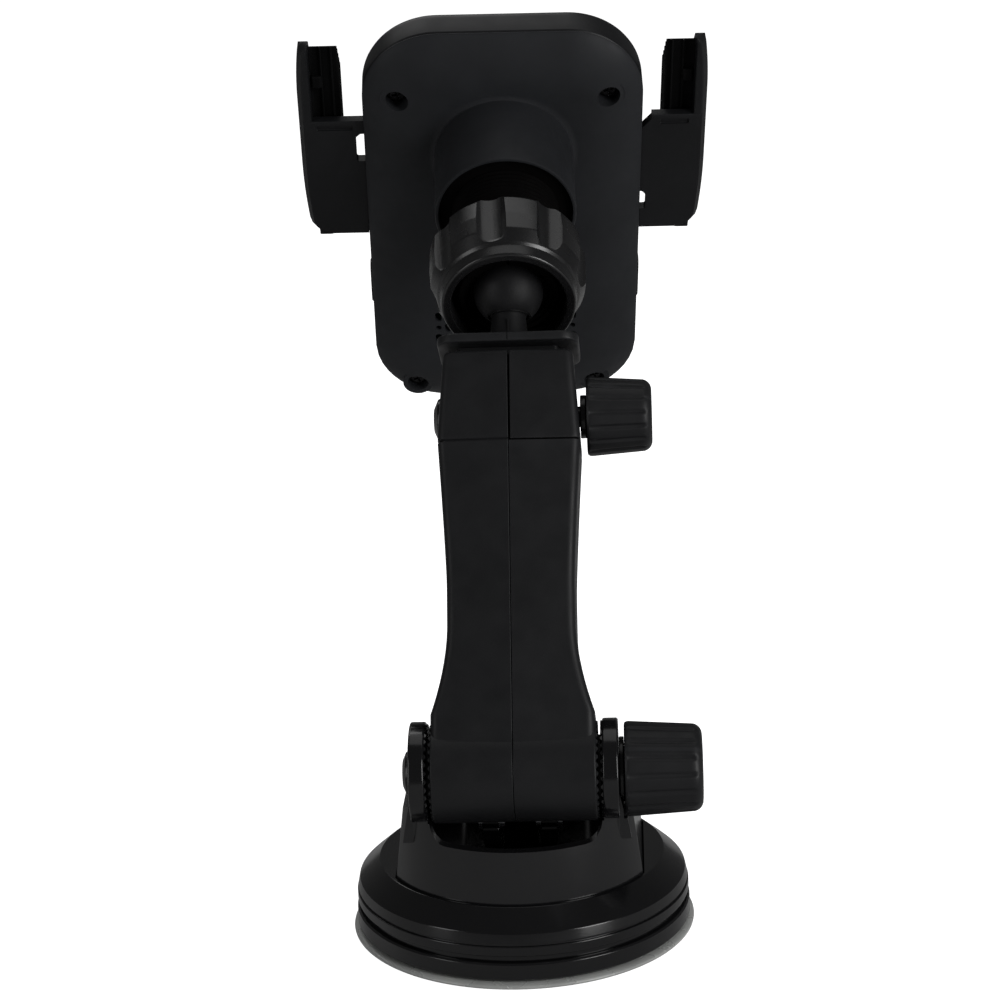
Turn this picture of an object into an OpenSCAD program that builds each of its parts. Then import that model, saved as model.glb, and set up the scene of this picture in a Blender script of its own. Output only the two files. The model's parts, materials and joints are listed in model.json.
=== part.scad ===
// Telescopic dashboard phone mount: suction base, leaning two-part arm,
// ball joint and a motor-driven clamping head with a charging coil.
// Origin: centre of the suction cup's bottom face. +Z up, the phone side is -Y.

/* [Suction base] */
// Diameter of the soft suction cup
cup_d = 82; // [81:0.5:84]
// Diameter of the pressure ring above the cup
ring_d = 80; // [79:0.5:80.5]
// Diameter of the round housing drum
drum_d = 66; // [65:0.5:66.5]
// Width of the drum across its two flats
drum_w = 58; // [57.5:0.5:59]
// How far the lever pulls the suction stem
lift = 2; // [1.5:0.1:2.2]

/* [Pivot] */
// Distance of the pivot behind the base centre
pivot_y = 17; // [16:0.5:18]
// Height of the pivot axis
pivot_z = 44; // [43:0.5:46]
// Forward lean of the arm, in degrees
lean = 31; // [25:1:36]
// Diameter of the arm's barrel
barrel_d = 23.4; // [22.5:0.1:23.8]
// Length of the arm's barrel
barrel_w = 38; // [37.5:0.1:38.4]

/* [Arm] */
// Depth of the outer arm from front to back
arm_depth = 21.2; // [20.5:0.1:22]
// Width of the arm at its waist
waist_w = 30; // [29.5:0.5:31]
// Pivot to the clamp collar's lower edge
collar_s = 77; // [75:0.5:79]
// Pivot to the ball's centre
ball_s = 117.8; // [117:0.1:122]
// Travel of the inner arm
extend = 50; // [30:1:52]

/* [Head] */
// Backward tilt of the head, in degrees
tilt = 30.4; // [25:0.1:36]
// Spin of the head about the boss, in degrees
head_spin = -2.5; // [-10:0.1:10]
// Turn of the head to one side, in degrees
head_turn = 2.1; // [-10:0.1:10]
// Diameter of the ball
ball_d = 17; // [16.8:0.1:17]
// Width of the head
head_w = 71.5; // [70:0.5:72]
// Height of the head
head_h = 123.5; // [121:0.5:125]
// Radius of the head's corners
head_r = 19.5; // [18:0.5:21]
// Height of the head above the ball axis
head_up = 34.5; // [33:0.5:36]
// Ball centre to the seam between cover and bezel
seam_d = 55; // [54.8:0.1:55.1]

/* [Jaws] */
// Distance between the two grip faces at rest
grip_w = 83.2; // [82:0.1:84]
// How far each jaw closes from rest
close_in = 9; // [6:0.5:9]
// Gear module of the racks and gears
gear_m = 1; // [1:1:1]

/* [Hidden] */
$fn = 64;

// Clearances: gap between bodies, running fit of a shaft, fit between fixed pieces
gap = 0.3;
run = 0.05;
fit = 0.02;
// More than any part's size, for cuts that run right through
far = 200;

// Base heights and radii
cup_r = cup_d / 2;
ring_r = ring_d / 2;
drum_r = drum_d / 2;
ring_z = 6;
cone_z = 14;
cone_top = 17.4;
deck_z = 15;
deck_t = 2.5;
deck_top = deck_z + deck_t;
drum_wall = 2.6;
scoop_z = 29.6;
scoop_x = 16.5;
shoulder_z = 36.6;
corner_z = 30;
rear_z = 27;
base_screw_r = 33.5;
base_screw_a = [20, 160, 200, 340];

// Suction stem and lever
stem_r = 4;
stem_plate_z = 3.4;
cam_h = 7;
cam_z = deck_top + cam_h;
cam_x = [5, 9];
lever_w = 30;
lever_turn = 60;
spring_r = 6.4;
spring_wire = 0.6;
spring_turns = 5;

// Pivot
barrel_r = barrel_d / 2;
ear_x = [20.4, 24.1];
ear_r = 11.9;
bolt_r = 3;
teeth = 36;
tooth_h = 0.45;
grooves = 16;
pivot_knob_x = 25.4;
pivot_knob_l = 18;
pivot_knob_r = 11;

// Arm outline
crease_w = 38;
collar_w = 33.8;
collar_top_w = 31.2;
collar_top = 99.9;
crease_s = 12;
waist_s = 33;
rise_s = 43;
bar_w = 24;
bar_d = 12;
bar_s = 24;
clamp_s = 85.4;
clamp_r = 2.5;
clamp_knob_x = 18.4;
clamp_knob_l = 15.6;
clamp_knob_r = 9.5;
plate_s = 101.6;
plate_t = 2.3;
plate_top = plate_s + plate_t;

// Ball joint, measured from the ball's centre along the boss axis
ball_r = ball_d / 2;
core_r = 7.7;
nut_front = 5.1;
nut_back = -14.2;
nut_r = 19.2;
nut_ring_r = 16.5;
nut_open_r = 14.1;
nut_groove_r = 15;
nut_scoop_a = 12;
head_back = 3.5;
neck_r = 13.4;
boss_r = 17.8;
boss_mouth = -25.5;

// Head
head_down = head_up - head_h;
head_mid = (head_up + head_down) / 2;
wall = 2;
crown = 5.4;
cover_y = -seam_d + crown;
bezel_y = -64.4;
face_y = -65;
screw_x = [26.8, 24.5];
screw_v = [17.2, -81.5];
vent_v = -54;
vent_r = 16;

// Jaws and gears
grip = grip_w / 2;
jaw_out = 52.4;
jaw_in = jaw_out - 3.5;
jaw_low = -31;
jaw_top = 32.5;
plate_v = 6.5;
plate_y = [-58.6, -56];
jaw_front = -76;
pinion_n = 11;
motor_n = 13;
pinion_r = gear_m * pinion_n / 2;
motor_r = gear_m * motor_n / 2;
pinion_v = -(pinion_r + motor_r);
pitch = PI * gear_m;
addendum = 0.8;
dedendum = 1.1;
rack_tip = 12;

ball_pos = [0, pivot_y - ball_s * sin(lean), pivot_z + ball_s * cos(lean)];

// ---- placing ----
module at_pivot() translate([0, pivot_y, pivot_z]) rotate([lean, 0, 0]) children();
module at_ball() translate(ball_pos) rotate([-tilt, 0, 0]) rotate([0, head_spin, 0])
    rotate([0, 0, head_turn]) children();
module at_head() at_ball() translate([0, -head_back, 0]) children();
module along_x() rotate([0, 90, 0]) children();
module along_y() rotate([-90, 0, 0]) children();

// A cylinder along X from x0 to x1
module x_rod(r, x0, x1) translate([x0, 0, 0]) along_x() cylinder(r = r, h = x1 - x0);

// A cylinder along Y from y0 to y1
module y_rod(r, y0, y1) translate([0, y0, 0]) along_y() cylinder(r = r, h = y1 - y0);

// A box between two corners
module box(a, b) translate(a) cube(b - a);

// A rectangle with round corners, centred
module round_rect(w, h, r) {
    square([w - 2 * r, h], center = true);
    square([w, h - 2 * r], center = true);
    for (x = [-1, 1], y = [-1, 1])
        translate([x * (w / 2 - r), y * (h / 2 - r)]) circle(r);
}

// A head-shaped slab between two depths, inset by a margin
module head_slab(inset, y0, y1)
    translate([0, y1, head_mid]) rotate([90, 0, 0])
        linear_extrude(y1 - y0)
            round_rect(head_w - 2 * inset, head_h - 2 * inset, head_r - inset);

// ---- suction base ----
module suction_cup() {
    color([0.72, 0.73, 0.72]) rotate_extrude($fn = 96) polygon([
        [0, 0], [cup_r, 0], [cup_r, 0.8], [ring_r - 0.4, 1.3], [9, 2],
        [9, stem_plate_z - 0.1], [0, stem_plate_z - 0.1],
    ]);
}

module bottom_ring() {
    color([0.05, 0.05, 0.055]) difference() {
        rotate_extrude($fn = 96) polygon([
            [31, 2.2], [ring_r - 0.6, 1.5], [ring_r, 2.1], [ring_r, ring_z - 0.4],
            [ring_r - 0.4, ring_z], [31, ring_z],
        ]);
        base_screw_holes(1.3, 0, ring_z);
        base_screw_holes(2.6, 0, 3.8);
    }
}

module base_screw_holes(r, z0, z1)
    for (a = base_screw_a) rotate(a) translate([base_screw_r, 0, z0]) cylinder(r = r, h = z1 - z0);

// The drum's plan: a circle with two flats
module drum(inset, z0, z1) intersection() {
    translate([0, 0, z0]) cylinder(r = drum_r - inset, h = z1 - z0);
    translate([inset - drum_w / 2, -far, z0]) cube([drum_w - 2 * inset, 2 * far, z1 - z0]);
}

module base_cover() {
    color([0.05, 0.05, 0.055]) difference() {
        rotate_extrude($fn = 96) polygon([
            [36.7, ring_z], [ring_r - 1.2, ring_z], [ring_r - 1.2, 7.6], [ring_r - 0.2, 7.6],
            [ring_r - 0.2, 10], [ring_r - 0.8, 10], [ring_r - 0.8, 10.6], [ring_r - 0.3, 10.6],
            [ring_r - 0.3, 13.6], [ring_r - 1.5, cone_z], [drum_r + 1, cone_top],
            [20, cone_top], [20, 13], [36.7, 11],
        ]);
        drum(-0.2, 0, far);
    }
}

function shoulder(x) = x < scoop_x ? scoop_z
    : x < ear_x[0] ? scoop_z + (shoulder_z - scoop_z) * sin(90 * (x - scoop_x) / (ear_x[0] - scoop_x))
    : corner_z + (shoulder_z - corner_z) * cos(90 * pow((x - ear_x[0]) / (drum_w / 2 - ear_x[0]), 1.6));

// Front view of the drum's top edge, with a scoop between the ears
module drum_front() rotate([90, 0, 0]) linear_extrude(far, center = true)
    polygon(concat(
        [[-drum_w / 2, 0]],
        [for (i = [-12:12]) let (x = i * drum_w / 24) [x, shoulder(abs(x))]],
        [[drum_w / 2, 0]]
    ));

module ear_outline() {
    translate([pivot_y, pivot_z]) circle(ear_r);
    polygon([
        [1, deck_z], [22.2, deck_z], [22.2, cone_top + gap], [24.5, cone_top + 2.6], [24.5, shoulder_z],
        [pivot_y + 11.4, 40.6], [pivot_y, pivot_z], [pivot_y - ear_r + 0.6, 40.4],
    ]);
}

module base_housing() {
    color([0.05, 0.05, 0.055]) difference() {
        union() {
            intersection() {
                difference() {
                    drum(0, ring_z, 40);
                    drum(drum_wall, deck_top, 41);
                    drum(drum_wall, 0, deck_z);
                    translate([0, pivot_y, pivot_z]) x_rod(barrel_r + gap, -ear_x[0], ear_x[0]);
                }
                union() {
                    intersection() {
                        drum_front();
                        box([-far, 0, 0], [far, far, far]);
                    }
                    box([-far, -far, 0], [far, 0, rear_z]);
                }
            }
            difference() {
                translate([0, 0, ring_z + 0.1]) cylinder(r = 36.4, h = 2.4);
                drum(drum_wall, 0, 20);
            }
            for (s = [-1, 1])
                translate([s < 0 ? -ear_x[1] : ear_x[0], 0, 0])
                    rotate([90, 0, 90]) linear_extrude(ear_x[1] - ear_x[0]) ear_outline();
            translate([0, pivot_y, pivot_z]) face_teeth(ear_x[0] - tooth_h);
        }
        translate([0, pivot_y, pivot_z]) x_rod(bolt_r + fit, -40, 40);
        translate([0, pivot_y, pivot_z]) x_rod(pivot_knob_r + gap, -far, gap - pivot_knob_x);
        translate([0, 0, deck_z - 1]) cylinder(r = stem_r + 0.2, h = 6);
        box([-lever_w / 2 - 0.8, -50, deck_top], [lever_w / 2 + 0.8, -20, 60]);
        base_screw_holes(1.1, 0, 9);
    }
}

// Radial teeth on both faces, standing out from |x| = x0
module face_teeth(x0)
    for (s = [-1, 1], i = [0:teeth - 1])
        rotate([360 * i / teeth, 0, 0])
            translate([s * (x0 + tooth_h / 2 + 0.05), 0, 9.7])
                cube([tooth_h + 0.1, 0.9, 3], center = true);

module base_screws() {
    color([0.6, 0.6, 0.62]) {
        base_screw_holes(2.4, 2.4, 3.8 - fit);
        base_screw_holes(1.05, 3, 8.4);
    }
}

// A closed tube swept along a vertical helix
module helix(r, wire, z0, z1, turns, steps = 14, sides = 8) {
    n = steps * turns;
    ring = [for (i = [0:n], k = [0:sides - 1])
        let (a = 360 * i / steps, b = 360 * k / sides)
        [(r + wire * cos(b)) * cos(a), (r + wire * cos(b)) * sin(a),
            z0 + (z1 - z0) * i / n + wire * sin(b)]];
    skin = [for (i = [0:n - 1], k = [0:sides - 1])
        let (k2 = (k + 1) % sides)
        [i * sides + k, (i + 1) * sides + k, (i + 1) * sides + k2, i * sides + k2]];
    ends = [[for (k = [0:sides - 1]) k], [for (k = [sides - 1:-1:0]) n * sides + k]];
    polyhedron(points = ring, faces = concat(skin, ends), convexity = 10);
}

module stem_spring() {
    color([0.7, 0.7, 0.72])
        helix(spring_r, spring_wire, 5 + spring_wire + 0.1, deck_z - spring_wire - 0.1, spring_turns);
}

module stem() {
    color([0.08, 0.08, 0.085]) difference() {
        union() {
            translate([0, 0, stem_plate_z]) cylinder(r = 8.6, h = 1.6);
            translate([0, 0, stem_plate_z]) cylinder(r = stem_r, h = cam_z + 3.4 - stem_plate_z);
        }
        translate([0, 0, cam_z]) x_rod(1.5 + fit, -10, 10);
    }
}

module cam_pin() color([0.7, 0.7, 0.72]) translate([0, 0, cam_z]) x_rod(1.5, -10, 10);

// Cam whose reach drops steadily as the lever lifts, so the stem sinks evenly
module cam_outline() polygon([for (i = [0:35])
    let (a = 10 * i, d = abs(a > 270 ? a - 360 : a))
    let (r = cam_h - gap - 0.15 - lift * min(d, 90) / lever_turn)
    [r * sin(a), -r * cos(a)]]);

module lever() {
    color([0.05, 0.05, 0.055]) translate([0, 0, cam_z]) difference() {
        union() {
            for (s = [-1, 1])
                translate([s < 0 ? -cam_x[1] : cam_x[0], 0, 0]) rotate([90, 0, 90])
                    linear_extrude(cam_x[1] - cam_x[0]) cam_outline();
            rotate([90, 0, 90]) translate([0, 0, -lever_w / 2]) linear_extrude(lever_w)
                polygon([[-6, -1], [-6, 3], [-34, 3], [-41.5, -1], [-46, -9], [-46, -11],
                    [-43.5, -11], [-39.5, -4.4], [-34, -1]]);
            for (s = [-1, 1])
                translate([s < 0 ? -cam_x[1] : cam_x[0], 0, 0])
                    box([0, -8, -1], [cam_x[1] - cam_x[0], 0, 3]);
        }
        x_rod(1.5 + run, -10, 10);
    }
}

// ---- pivot ----
// A bolt along X with a domed head that starts at x
module domed_bolt(r, tip, x, head_r) along_x() rotate_extrude() polygon(concat(
    [[0, tip], [r, tip], [r, x], [head_r, x]],
    [for (a = [0:15:75]) [head_r * cos(a), x + 0.4 + 1.6 * sin(a)]],
    [[0, x + 2]]
));

module pivot_bolt() {
    color([0.06, 0.06, 0.065]) translate([0, pivot_y, pivot_z])
        domed_bolt(bolt_r, -41.5, ear_x[1] + fit, 5.4);
}

module pivot_washer() {
    color([0.5, 0.5, 0.52]) translate([0, pivot_y, pivot_z]) difference() {
        x_rod(7.5, -pivot_knob_x + 0.1, -ear_x[1] - 0.1);
        x_rod(bolt_r + run, -40, 0);
    }
}

// Grooved knob: a tapered body with a rounded rim, from the origin towards -X
module knob(r, l, hole_r, hole_l) rotate([0, -90, 0]) difference() {
    rotate_extrude() polygon(concat(
        [[0, 0], [r - 0.8, 0], [r, 0.8]],
        [for (a = [0:15:90]) [r - 2.4 + 1.4 * cos(a), l - 2 + 2 * sin(a)]],
        [[0, l]]
    ));
    for (i = [0:grooves - 1]) rotate(360 * i / grooves)
        translate([r + 0.7, 0, 1.2]) rotate([0, -atan(1 / (l - 2.8)), 0]) cylinder(r = 1.1, h = l);
    translate([0, 0, -1]) cylinder(r = hole_r, h = hole_l + 1);
}

module pivot_knob() {
    color([0.1, 0.1, 0.1]) translate([-pivot_knob_x, pivot_y, pivot_z]) difference() {
        knob(pivot_knob_r, pivot_knob_l, 5, 8);
        x_rod(bolt_r + run, 1.2 - pivot_knob_l, 0);
    }
}

module pivot_insert() {
    color([0.75, 0.6, 0.3]) translate([-pivot_knob_x, pivot_y, pivot_z]) difference() {
        x_rod(5 - fit, -8, -0.2);
        x_rod(bolt_r + run, -20, 1);
    }
}

// ---- outer arm ----
function half_w(s) = s < waist_s
    ? waist_w / 2 + (crease_w - waist_w) / 2 * pow((waist_s - s) / (waist_s - crease_s), 1.8)
    : s < rise_s ? waist_w / 2
    : waist_w / 2 + (collar_w - waist_w) / 2 * pow((s - rise_s) / (collar_s - rise_s), 1.2);

function arm_side(k) = concat(
    [for (i = [0:16]) let (s = crease_s + i * (collar_s - crease_s) / 16) [k * half_w(s), s]],
    [[k * collar_top_w / 2, collar_top]]
);

// Front outline of one half of the arm, k is +1 or -1
module arm_outline(k) polygon(concat([[0, 0], [k * barrel_w / 2, 0]], arm_side(k), [[0, collar_top]]));

module arm_half(k) difference() {
    union() {
        rotate([90, 0, 0]) linear_extrude(arm_depth, center = true) arm_outline(k);
        x_rod(barrel_r, k < 0 ? -barrel_w / 2 : 0, k < 0 ? 0 : barrel_w / 2);
        intersection() {
            face_teeth(barrel_w / 2);
            box([k < 0 ? -far : 0, -far, -far], [k < 0 ? 0 : far, far, far]);
        }
    }
    difference() {
        rotate([90, 0, 0]) linear_extrude(far, center = true)
            polygon([
                [k * 25, -1], [k * 25, crease_s], [k * barrel_w / 2, crease_s], [k * barrel_w / 2, -1],
            ]);
        x_rod(barrel_r + 1, -barrel_w / 2 - tooth_h - 0.1, barrel_w / 2 + tooth_h + 0.1);
    }
    x_rod(bolt_r + run, -far, far);
    box([-bar_w / 2 - gap, -bar_d / 2 - gap, bar_s - 4], [bar_w / 2 + gap, bar_d / 2 + gap, far]);
    translate([0, 0, clamp_s]) x_rod(clamp_r + fit, -far, far);
    translate([0, 0, clamp_s]) x_rod(5.5 + fit, 16.4 - fit, far);
    arm_screw_holes(1.05, -far, far);
}

// Two screws that cross the arm below the bar
module arm_screw_holes(r, x0, x1)
    for (p = [[0, 15.5], [-8.3, 50], [-8.3, 68]]) translate([0, p[0], p[1]]) x_rod(r, x0, x1);

module arm_shell_left() {
    color([0.12, 0.12, 0.125]) at_pivot() arm_half(1);
}

module arm_shell_right() {
    color([0.12, 0.12, 0.125]) at_pivot() difference() {
        arm_half(-1);
        box([-far, -far, collar_s], [0.01, far, far]);
    }
}

module clamp_plate() {
    color([0.12, 0.12, 0.125]) at_pivot() intersection() {
        arm_half(-1);
        box([-far, -far, collar_s + 0.4], [-0.4, far, far]);
    }
}

module arm_screws() {
    color([0.6, 0.6, 0.62]) at_pivot() arm_screw_holes(1, -11, 11);
}

module clamp_bolt() {
    color([0.06, 0.06, 0.065]) at_pivot() translate([0, 0, clamp_s]) domed_bolt(clamp_r, -32, 16.4, 5.5);
}

module clamp_washer() {
    color([0.5, 0.5, 0.52]) at_pivot() translate([0, 0, clamp_s]) difference() {
        x_rod(5.2, -clamp_knob_x + 0.1, -16.9);
        x_rod(clamp_r + run, -40, 0);
    }
}

module clamp_knob() {
    color([0.1, 0.1, 0.1]) at_pivot() translate([-clamp_knob_x, 0, clamp_s]) difference() {
        knob(clamp_knob_r, clamp_knob_l, 4.2, 7);
        x_rod(clamp_r + run, 1.2 - clamp_knob_l, 0);
    }
}

module clamp_insert() {
    color([0.75, 0.6, 0.3]) at_pivot() translate([-clamp_knob_x, 0, clamp_s]) difference() {
        x_rod(4.2 - fit, -7, -0.2);
        x_rod(clamp_r + run, -20, 1);
    }
}

// ---- inner arm and ball ----
module inner_arm() {
    color([0.1, 0.1, 0.105]) at_pivot() difference() {
        union() {
            box([-bar_w / 2, -bar_d / 2, bar_s], [bar_w / 2, bar_d / 2, plate_s + 0.5]);
            translate([0, 0, plate_s]) linear_extrude(plate_t) round_rect(34, 22, 4.5);
        }
        box([-far, -clamp_r - gap, clamp_s - extend - clamp_r - gap],
            [far, clamp_r + gap, clamp_s + clamp_r + gap]);
    }
}

module ball_stud() {
    color([0.08, 0.08, 0.085]) at_pivot() {
        translate([0, 0, plate_top]) cylinder(r1 = 4.95, r2 = 4.2, h = ball_s - plate_top - 5);
        translate([0, 0, ball_s]) sphere(r = core_r);
    }
}

module ball_sleeve() {
    color([0.06, 0.06, 0.065]) at_pivot() translate([0, 0, ball_s]) difference() {
        sphere(r = ball_r);
        sphere(r = core_r + run);
        translate([0, 0, -20]) cylinder(r = 5.1, h = 20);
    }
}

module ball_seat() {
    cup = ball_r + run;
    color([0.2, 0.2, 0.2]) at_ball() along_y() rotate_extrude() polygon(concat(
        [[3, -12], [9.4, -12], [9.4, -3.2]],
        [for (i = [0:12]) let (a = 68 - 4 * i) [cup * sin(a), -cup * cos(a)]],
        [[3, -8]]
    ));
}

module socket_collet() {
    color([0.07, 0.07, 0.075]) at_ball() difference() {
        union() {
            translate([0, -12, 0]) along_y() cylinder(r1 = neck_r, r2 = 12.2, h = 14);
            y_rod(neck_r, -29 - head_back, -12);
            y_rod(16.7, -29.5 - head_back, -27 - head_back);
        }
        sphere(r = ball_r + run);
        translate([0, 0.4, 0]) along_y() cylinder(r1 = ball_r, r2 = 10.4, h = 1.7);
        y_rod(9.5, -12.1, -3);
        y_rod(6, -30 - head_back, -12);
        for (i = [0:2]) rotate([0, 60 * i, 0]) box([-0.5, -8, -20], [0.5, 10, 20]);
    }
}

module pressure_ring() {
    color([0.07, 0.07, 0.075]) at_ball() difference() {
        y_rod(nut_groove_r - 0.2, -4, -1.2);
        y_rod(13.5, -5, 0);
    }
}

module socket_nut() {
    color([0.04, 0.04, 0.045]) at_ball() difference() {
        union() {
            y_rod(nut_r, nut_back, -0.2);
            translate([0, -0.2, 0]) along_y() cylinder(r1 = 18.2, r2 = nut_ring_r, h = 1.8);
            y_rod(nut_ring_r, 1.5, nut_front);
        }
        for (i = [0:7]) rotate([0, nut_scoop_a + 45 * i, 0])
            translate([0, 0, nut_r + 3]) y_rod(5.2, nut_back - 1, 1.4);
        y_rod(nut_open_r, -0.9, 10);
        y_rod(nut_groove_r, -4.4, -0.8);
        y_rod(neck_r + gap, -20, 0);
    }
}

// ---- head ----
module at_screws() for (i = [0, 1], s = [-1, 1]) translate([s * screw_x[i], 0, screw_v[i]]) children();

module rear_cover() {
    color([0.09, 0.095, 0.1]) at_head() difference() {
        union() {
            difference() {
                hull() {
                    head_slab(0, -seam_d, -seam_d + 0.6);
                    head_slab(1.4, -seam_d + 2, -seam_d + 3);
                    head_slab(7, cover_y - 0.4, cover_y);
                }
                head_slab(wall, -60, cover_y - wall);
            }
            y_rod(boss_r, cover_y - wall, boss_mouth);
            translate([0, cover_y, 0]) along_y() cylinder(r1 = 21.5, r2 = boss_r, h = 5);
            at_screws() y_rod(4.2, -seam_d, cover_y - wall);
            intersection() {
                at_screws() y_rod(4.2, -57, -54.9);
                head_slab(wall + gap, -58, -54);
            }
        }
        y_rod(16.8, -29.6, far);
        y_rod(neck_r + 0.4, -32, -29);
        y_rod(15.4, -60, -31);
        at_screws() y_rod(2.8, -54.4, far);
        at_screws() y_rod(1.2, -60, far);
        vent_holes();
    }
}

module vent_holes() for (s = [-1, 1], i = [-3:3])
    translate([s * vent_r * cos(14 * i), 0, vent_v + vent_r * sin(14 * i)]) y_rod(1, -60, -40);

module front_bezel() {
    color([0.07, 0.07, 0.075]) at_head() difference() {
        union() {
            difference() {
                union() {
                    head_slab(0, bezel_y + 1.2, -seam_d);
                    head_slab(1.2, bezel_y, bezel_y + 1.3);
                }
                head_slab(wall, bezel_y + 1.8, -50);
            }
            at_screws() y_rod(3, bezel_y + 1, -57);
        }
        at_screws() y_rod(1.15 + fit, bezel_y + 1.6, -50);
        box([-50, plate_y[0] - gap, jaw_low - gap], [50, plate_y[1] + gap, plate_v + gap]);
        box([-40, -61.8, -57.1], [40, -56.2, -42.9]);
        box([-11, -59.7, head_down - 5], [11, -55.6, head_down + 10]);
    }
}

module front_pad() {
    color([0.06, 0.06, 0.06]) at_head() head_slab(6, face_y, bezel_y);
}

module cover_screws() {
    color([0.25, 0.25, 0.26]) at_head() at_screws() {
        y_rod(2.5, -54.4 + fit, -52.8);
        y_rod(1.15, -61.5, -54);
    }
}

module charging_coil() {
    color([0.75, 0.45, 0.25]) at_head() translate([0, 0, -27]) difference() {
        y_rod(22, -62.4, -61.7);
        y_rod(10, -70, -50);
    }
}

module ferrite_disc() color([0.2, 0.2, 0.22]) at_head() translate([0, 0, -27]) y_rod(24, -61.6, -60.9);

module circuit_board() {
    color([0.1, 0.3, 0.15]) at_head() difference() {
        translate([0, -59.8, -28]) rotate([90, 0, 0]) linear_extrude(1) round_rect(58, 104, 8);
        at_screws() y_rod(5, -70, -50);
        translate([0, 0, pinion_v]) y_rod(1.4, -70, -50);
    }
}

module usb_socket() {
    color([0.7, 0.7, 0.72]) at_head() difference() {
        translate([0, 0, head_down + 0.4]) linear_extrude(8)
            translate([0, -57.9]) round_rect(9, 3.3, 1.6);
        translate([0, 0, head_down - 1]) linear_extrude(8)
            translate([0, -57.9]) round_rect(8.3, 2.6, 1.25);
    }
}

module gear_motor() {
    color([0.65, 0.65, 0.67]) at_head() {
        y_rod(7, -50, -34);
        y_rod(1, -55, -49);
    }
}

// Outline of a spur gear with slim straight-sided teeth, first tooth pointing up
module gear_outline(n) {
    r = gear_m * n / 2;
    circle(r - dedendum);
    for (i = [0:n - 1]) rotate(360 * i / n)
        polygon([[-0.95, r - dedendum - 0.3], [0.95, r - dedendum - 0.3], [0.6, r], [0.3, r + addendum],
            [-0.3, r + addendum], [-0.6, r]]);
}

module gear(n, y0, y1) translate([0, y1, 0]) rotate([90, 0, 0]) linear_extrude(y1 - y0) gear_outline(n);

module motor_gear() {
    color([0.85, 0.85, 0.8]) at_head() difference() {
        gear(motor_n, -54.8, -52.2);
        y_rod(1 + run, -60, -50);
    }
}

module pinion() {
    color([0.85, 0.85, 0.8]) at_head() translate([0, 0, pinion_v]) difference() {
        gear(pinion_n, plate_y[0], -52.2);
        y_rod(1 + run, -60, -50);
    }
}

module pinion_axle() color([0.7, 0.7, 0.72]) at_head() translate([0, 0, pinion_v]) y_rod(1, -60.8, -51.7);

// ---- jaws ----
// Rack bar from x0 to the tip, teeth pointing to dir (+1 up, -1 down) at pitch line v
module rack(v, dir, phase, x0) {
    low = v - dir * dedendum;
    box([-rack_tip, plate_y[0], min(low, low - dir * 6)], [x0, plate_y[1], max(low, low - dir * 6)]);
    for (i = [-3:5]) translate([(i + phase) * pitch, plate_y[1], v]) rotate([90, 0, 0])
        linear_extrude(plate_y[1] - plate_y[0])
            polygon([[-0.95, -dir * (dedendum + 0.3)], [0.95, -dir * (dedendum + 0.3)],
                [0.3, dir * addendum], [-0.3, dir * addendum]]);
}

// Side view of a jaw part: full height at the back, its top sloping down to the front
module below_slope(top) rotate([90, 0, 90]) linear_extrude(far) polygon([
    [0, jaw_low], [0, top], [plate_y[1] - 3, top], [jaw_front, top - 21], [jaw_front, jaw_low],
]);

// Side wall with its curled front lip and the rear plate
module jaw_shell() {
    intersection() {
        translate([0, 0, jaw_low]) linear_extrude(jaw_top - jaw_low) polygon([
            [jaw_in, plate_y[1] - 1], [jaw_in + 2, plate_y[1]], [jaw_out, plate_y[1] - 3],
            [jaw_out, jaw_front + 4], [jaw_out - 2, jaw_front], [jaw_in - 4, jaw_front],
            [jaw_in - 5, jaw_front + 1], [jaw_in - 4, jaw_front + 2.2], [jaw_in, jaw_front + 3.6],
        ]);
        below_slope(jaw_top);
    }
    box([36.6, plate_y[0], jaw_low], [jaw_in + 1.5, plate_y[1], plate_v]);
}

module jaw_left() {
    color([0.07, 0.07, 0.075]) at_head() {
        jaw_shell();
        box([20, plate_y[0], -26], [37, plate_y[1], -8]);
        rack(pinion_v - pinion_r, 1, 0, 20.5);
    }
}

module jaw_right() {
    color([0.07, 0.07, 0.075]) at_head() mirror([1, 0, 0]) {
        jaw_shell();
        box([20, plate_y[0], -16], [37, plate_y[1], 1]);
        rack(pinion_v + pinion_r, -1, 0.5, 20.5);
    }
}

module jaw_pad() intersection() {
    translate([0, 0, jaw_low + 3]) linear_extrude(jaw_top - jaw_low - 6) polygon([
        [jaw_in - fit, plate_y[0] - 1], [grip, plate_y[0] - 1.6], [grip, jaw_front + 4.6],
        [jaw_in - fit, jaw_front + 4],
    ]);
    below_slope(jaw_top - 4.5);
}

module jaw_pad_left() color([0.03, 0.03, 0.03]) at_head() jaw_pad();

module jaw_pad_right() color([0.03, 0.03, 0.03]) at_head() mirror([1, 0, 0]) jaw_pad();

// ---- buttons and foot ----
module button() box([head_w / 2 - 3, -61.5, -56.8], [head_w / 2 + 0.5, -56.5, -43.2]);

module button_left() color([0.03, 0.03, 0.03]) at_head() button();

module button_right() color([0.03, 0.03, 0.03]) at_head() mirror([1, 0, 0]) button();

module foot() {
    color([0.07, 0.07, 0.075]) at_head() {
        box([-10.6, -58.4, head_down + 18], [10.6, -56, head_down + 23]);
        for (s = [-1, 1]) translate([s * 8.4, 0, 0]) {
            box([-2.2, -58.4, head_down - 1], [2.2, -56, head_down + 18.5]);
            box([-2.2, -77, head_down - 3], [2.2, -56, head_down - 0.6]);
            box([-2.2, -77, head_down - 3], [2.2, -74.6, head_down + 4]);
        }
    }
}

module foot_pad() {
    color([0.03, 0.03, 0.03]) at_head() for (s = [-1, 1])
        translate([s * 8.4, 0, 0]) box([-1.9, -74.4, head_down - 0.6], [1.9, -65.6, head_down + 0.2]);
}

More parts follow.
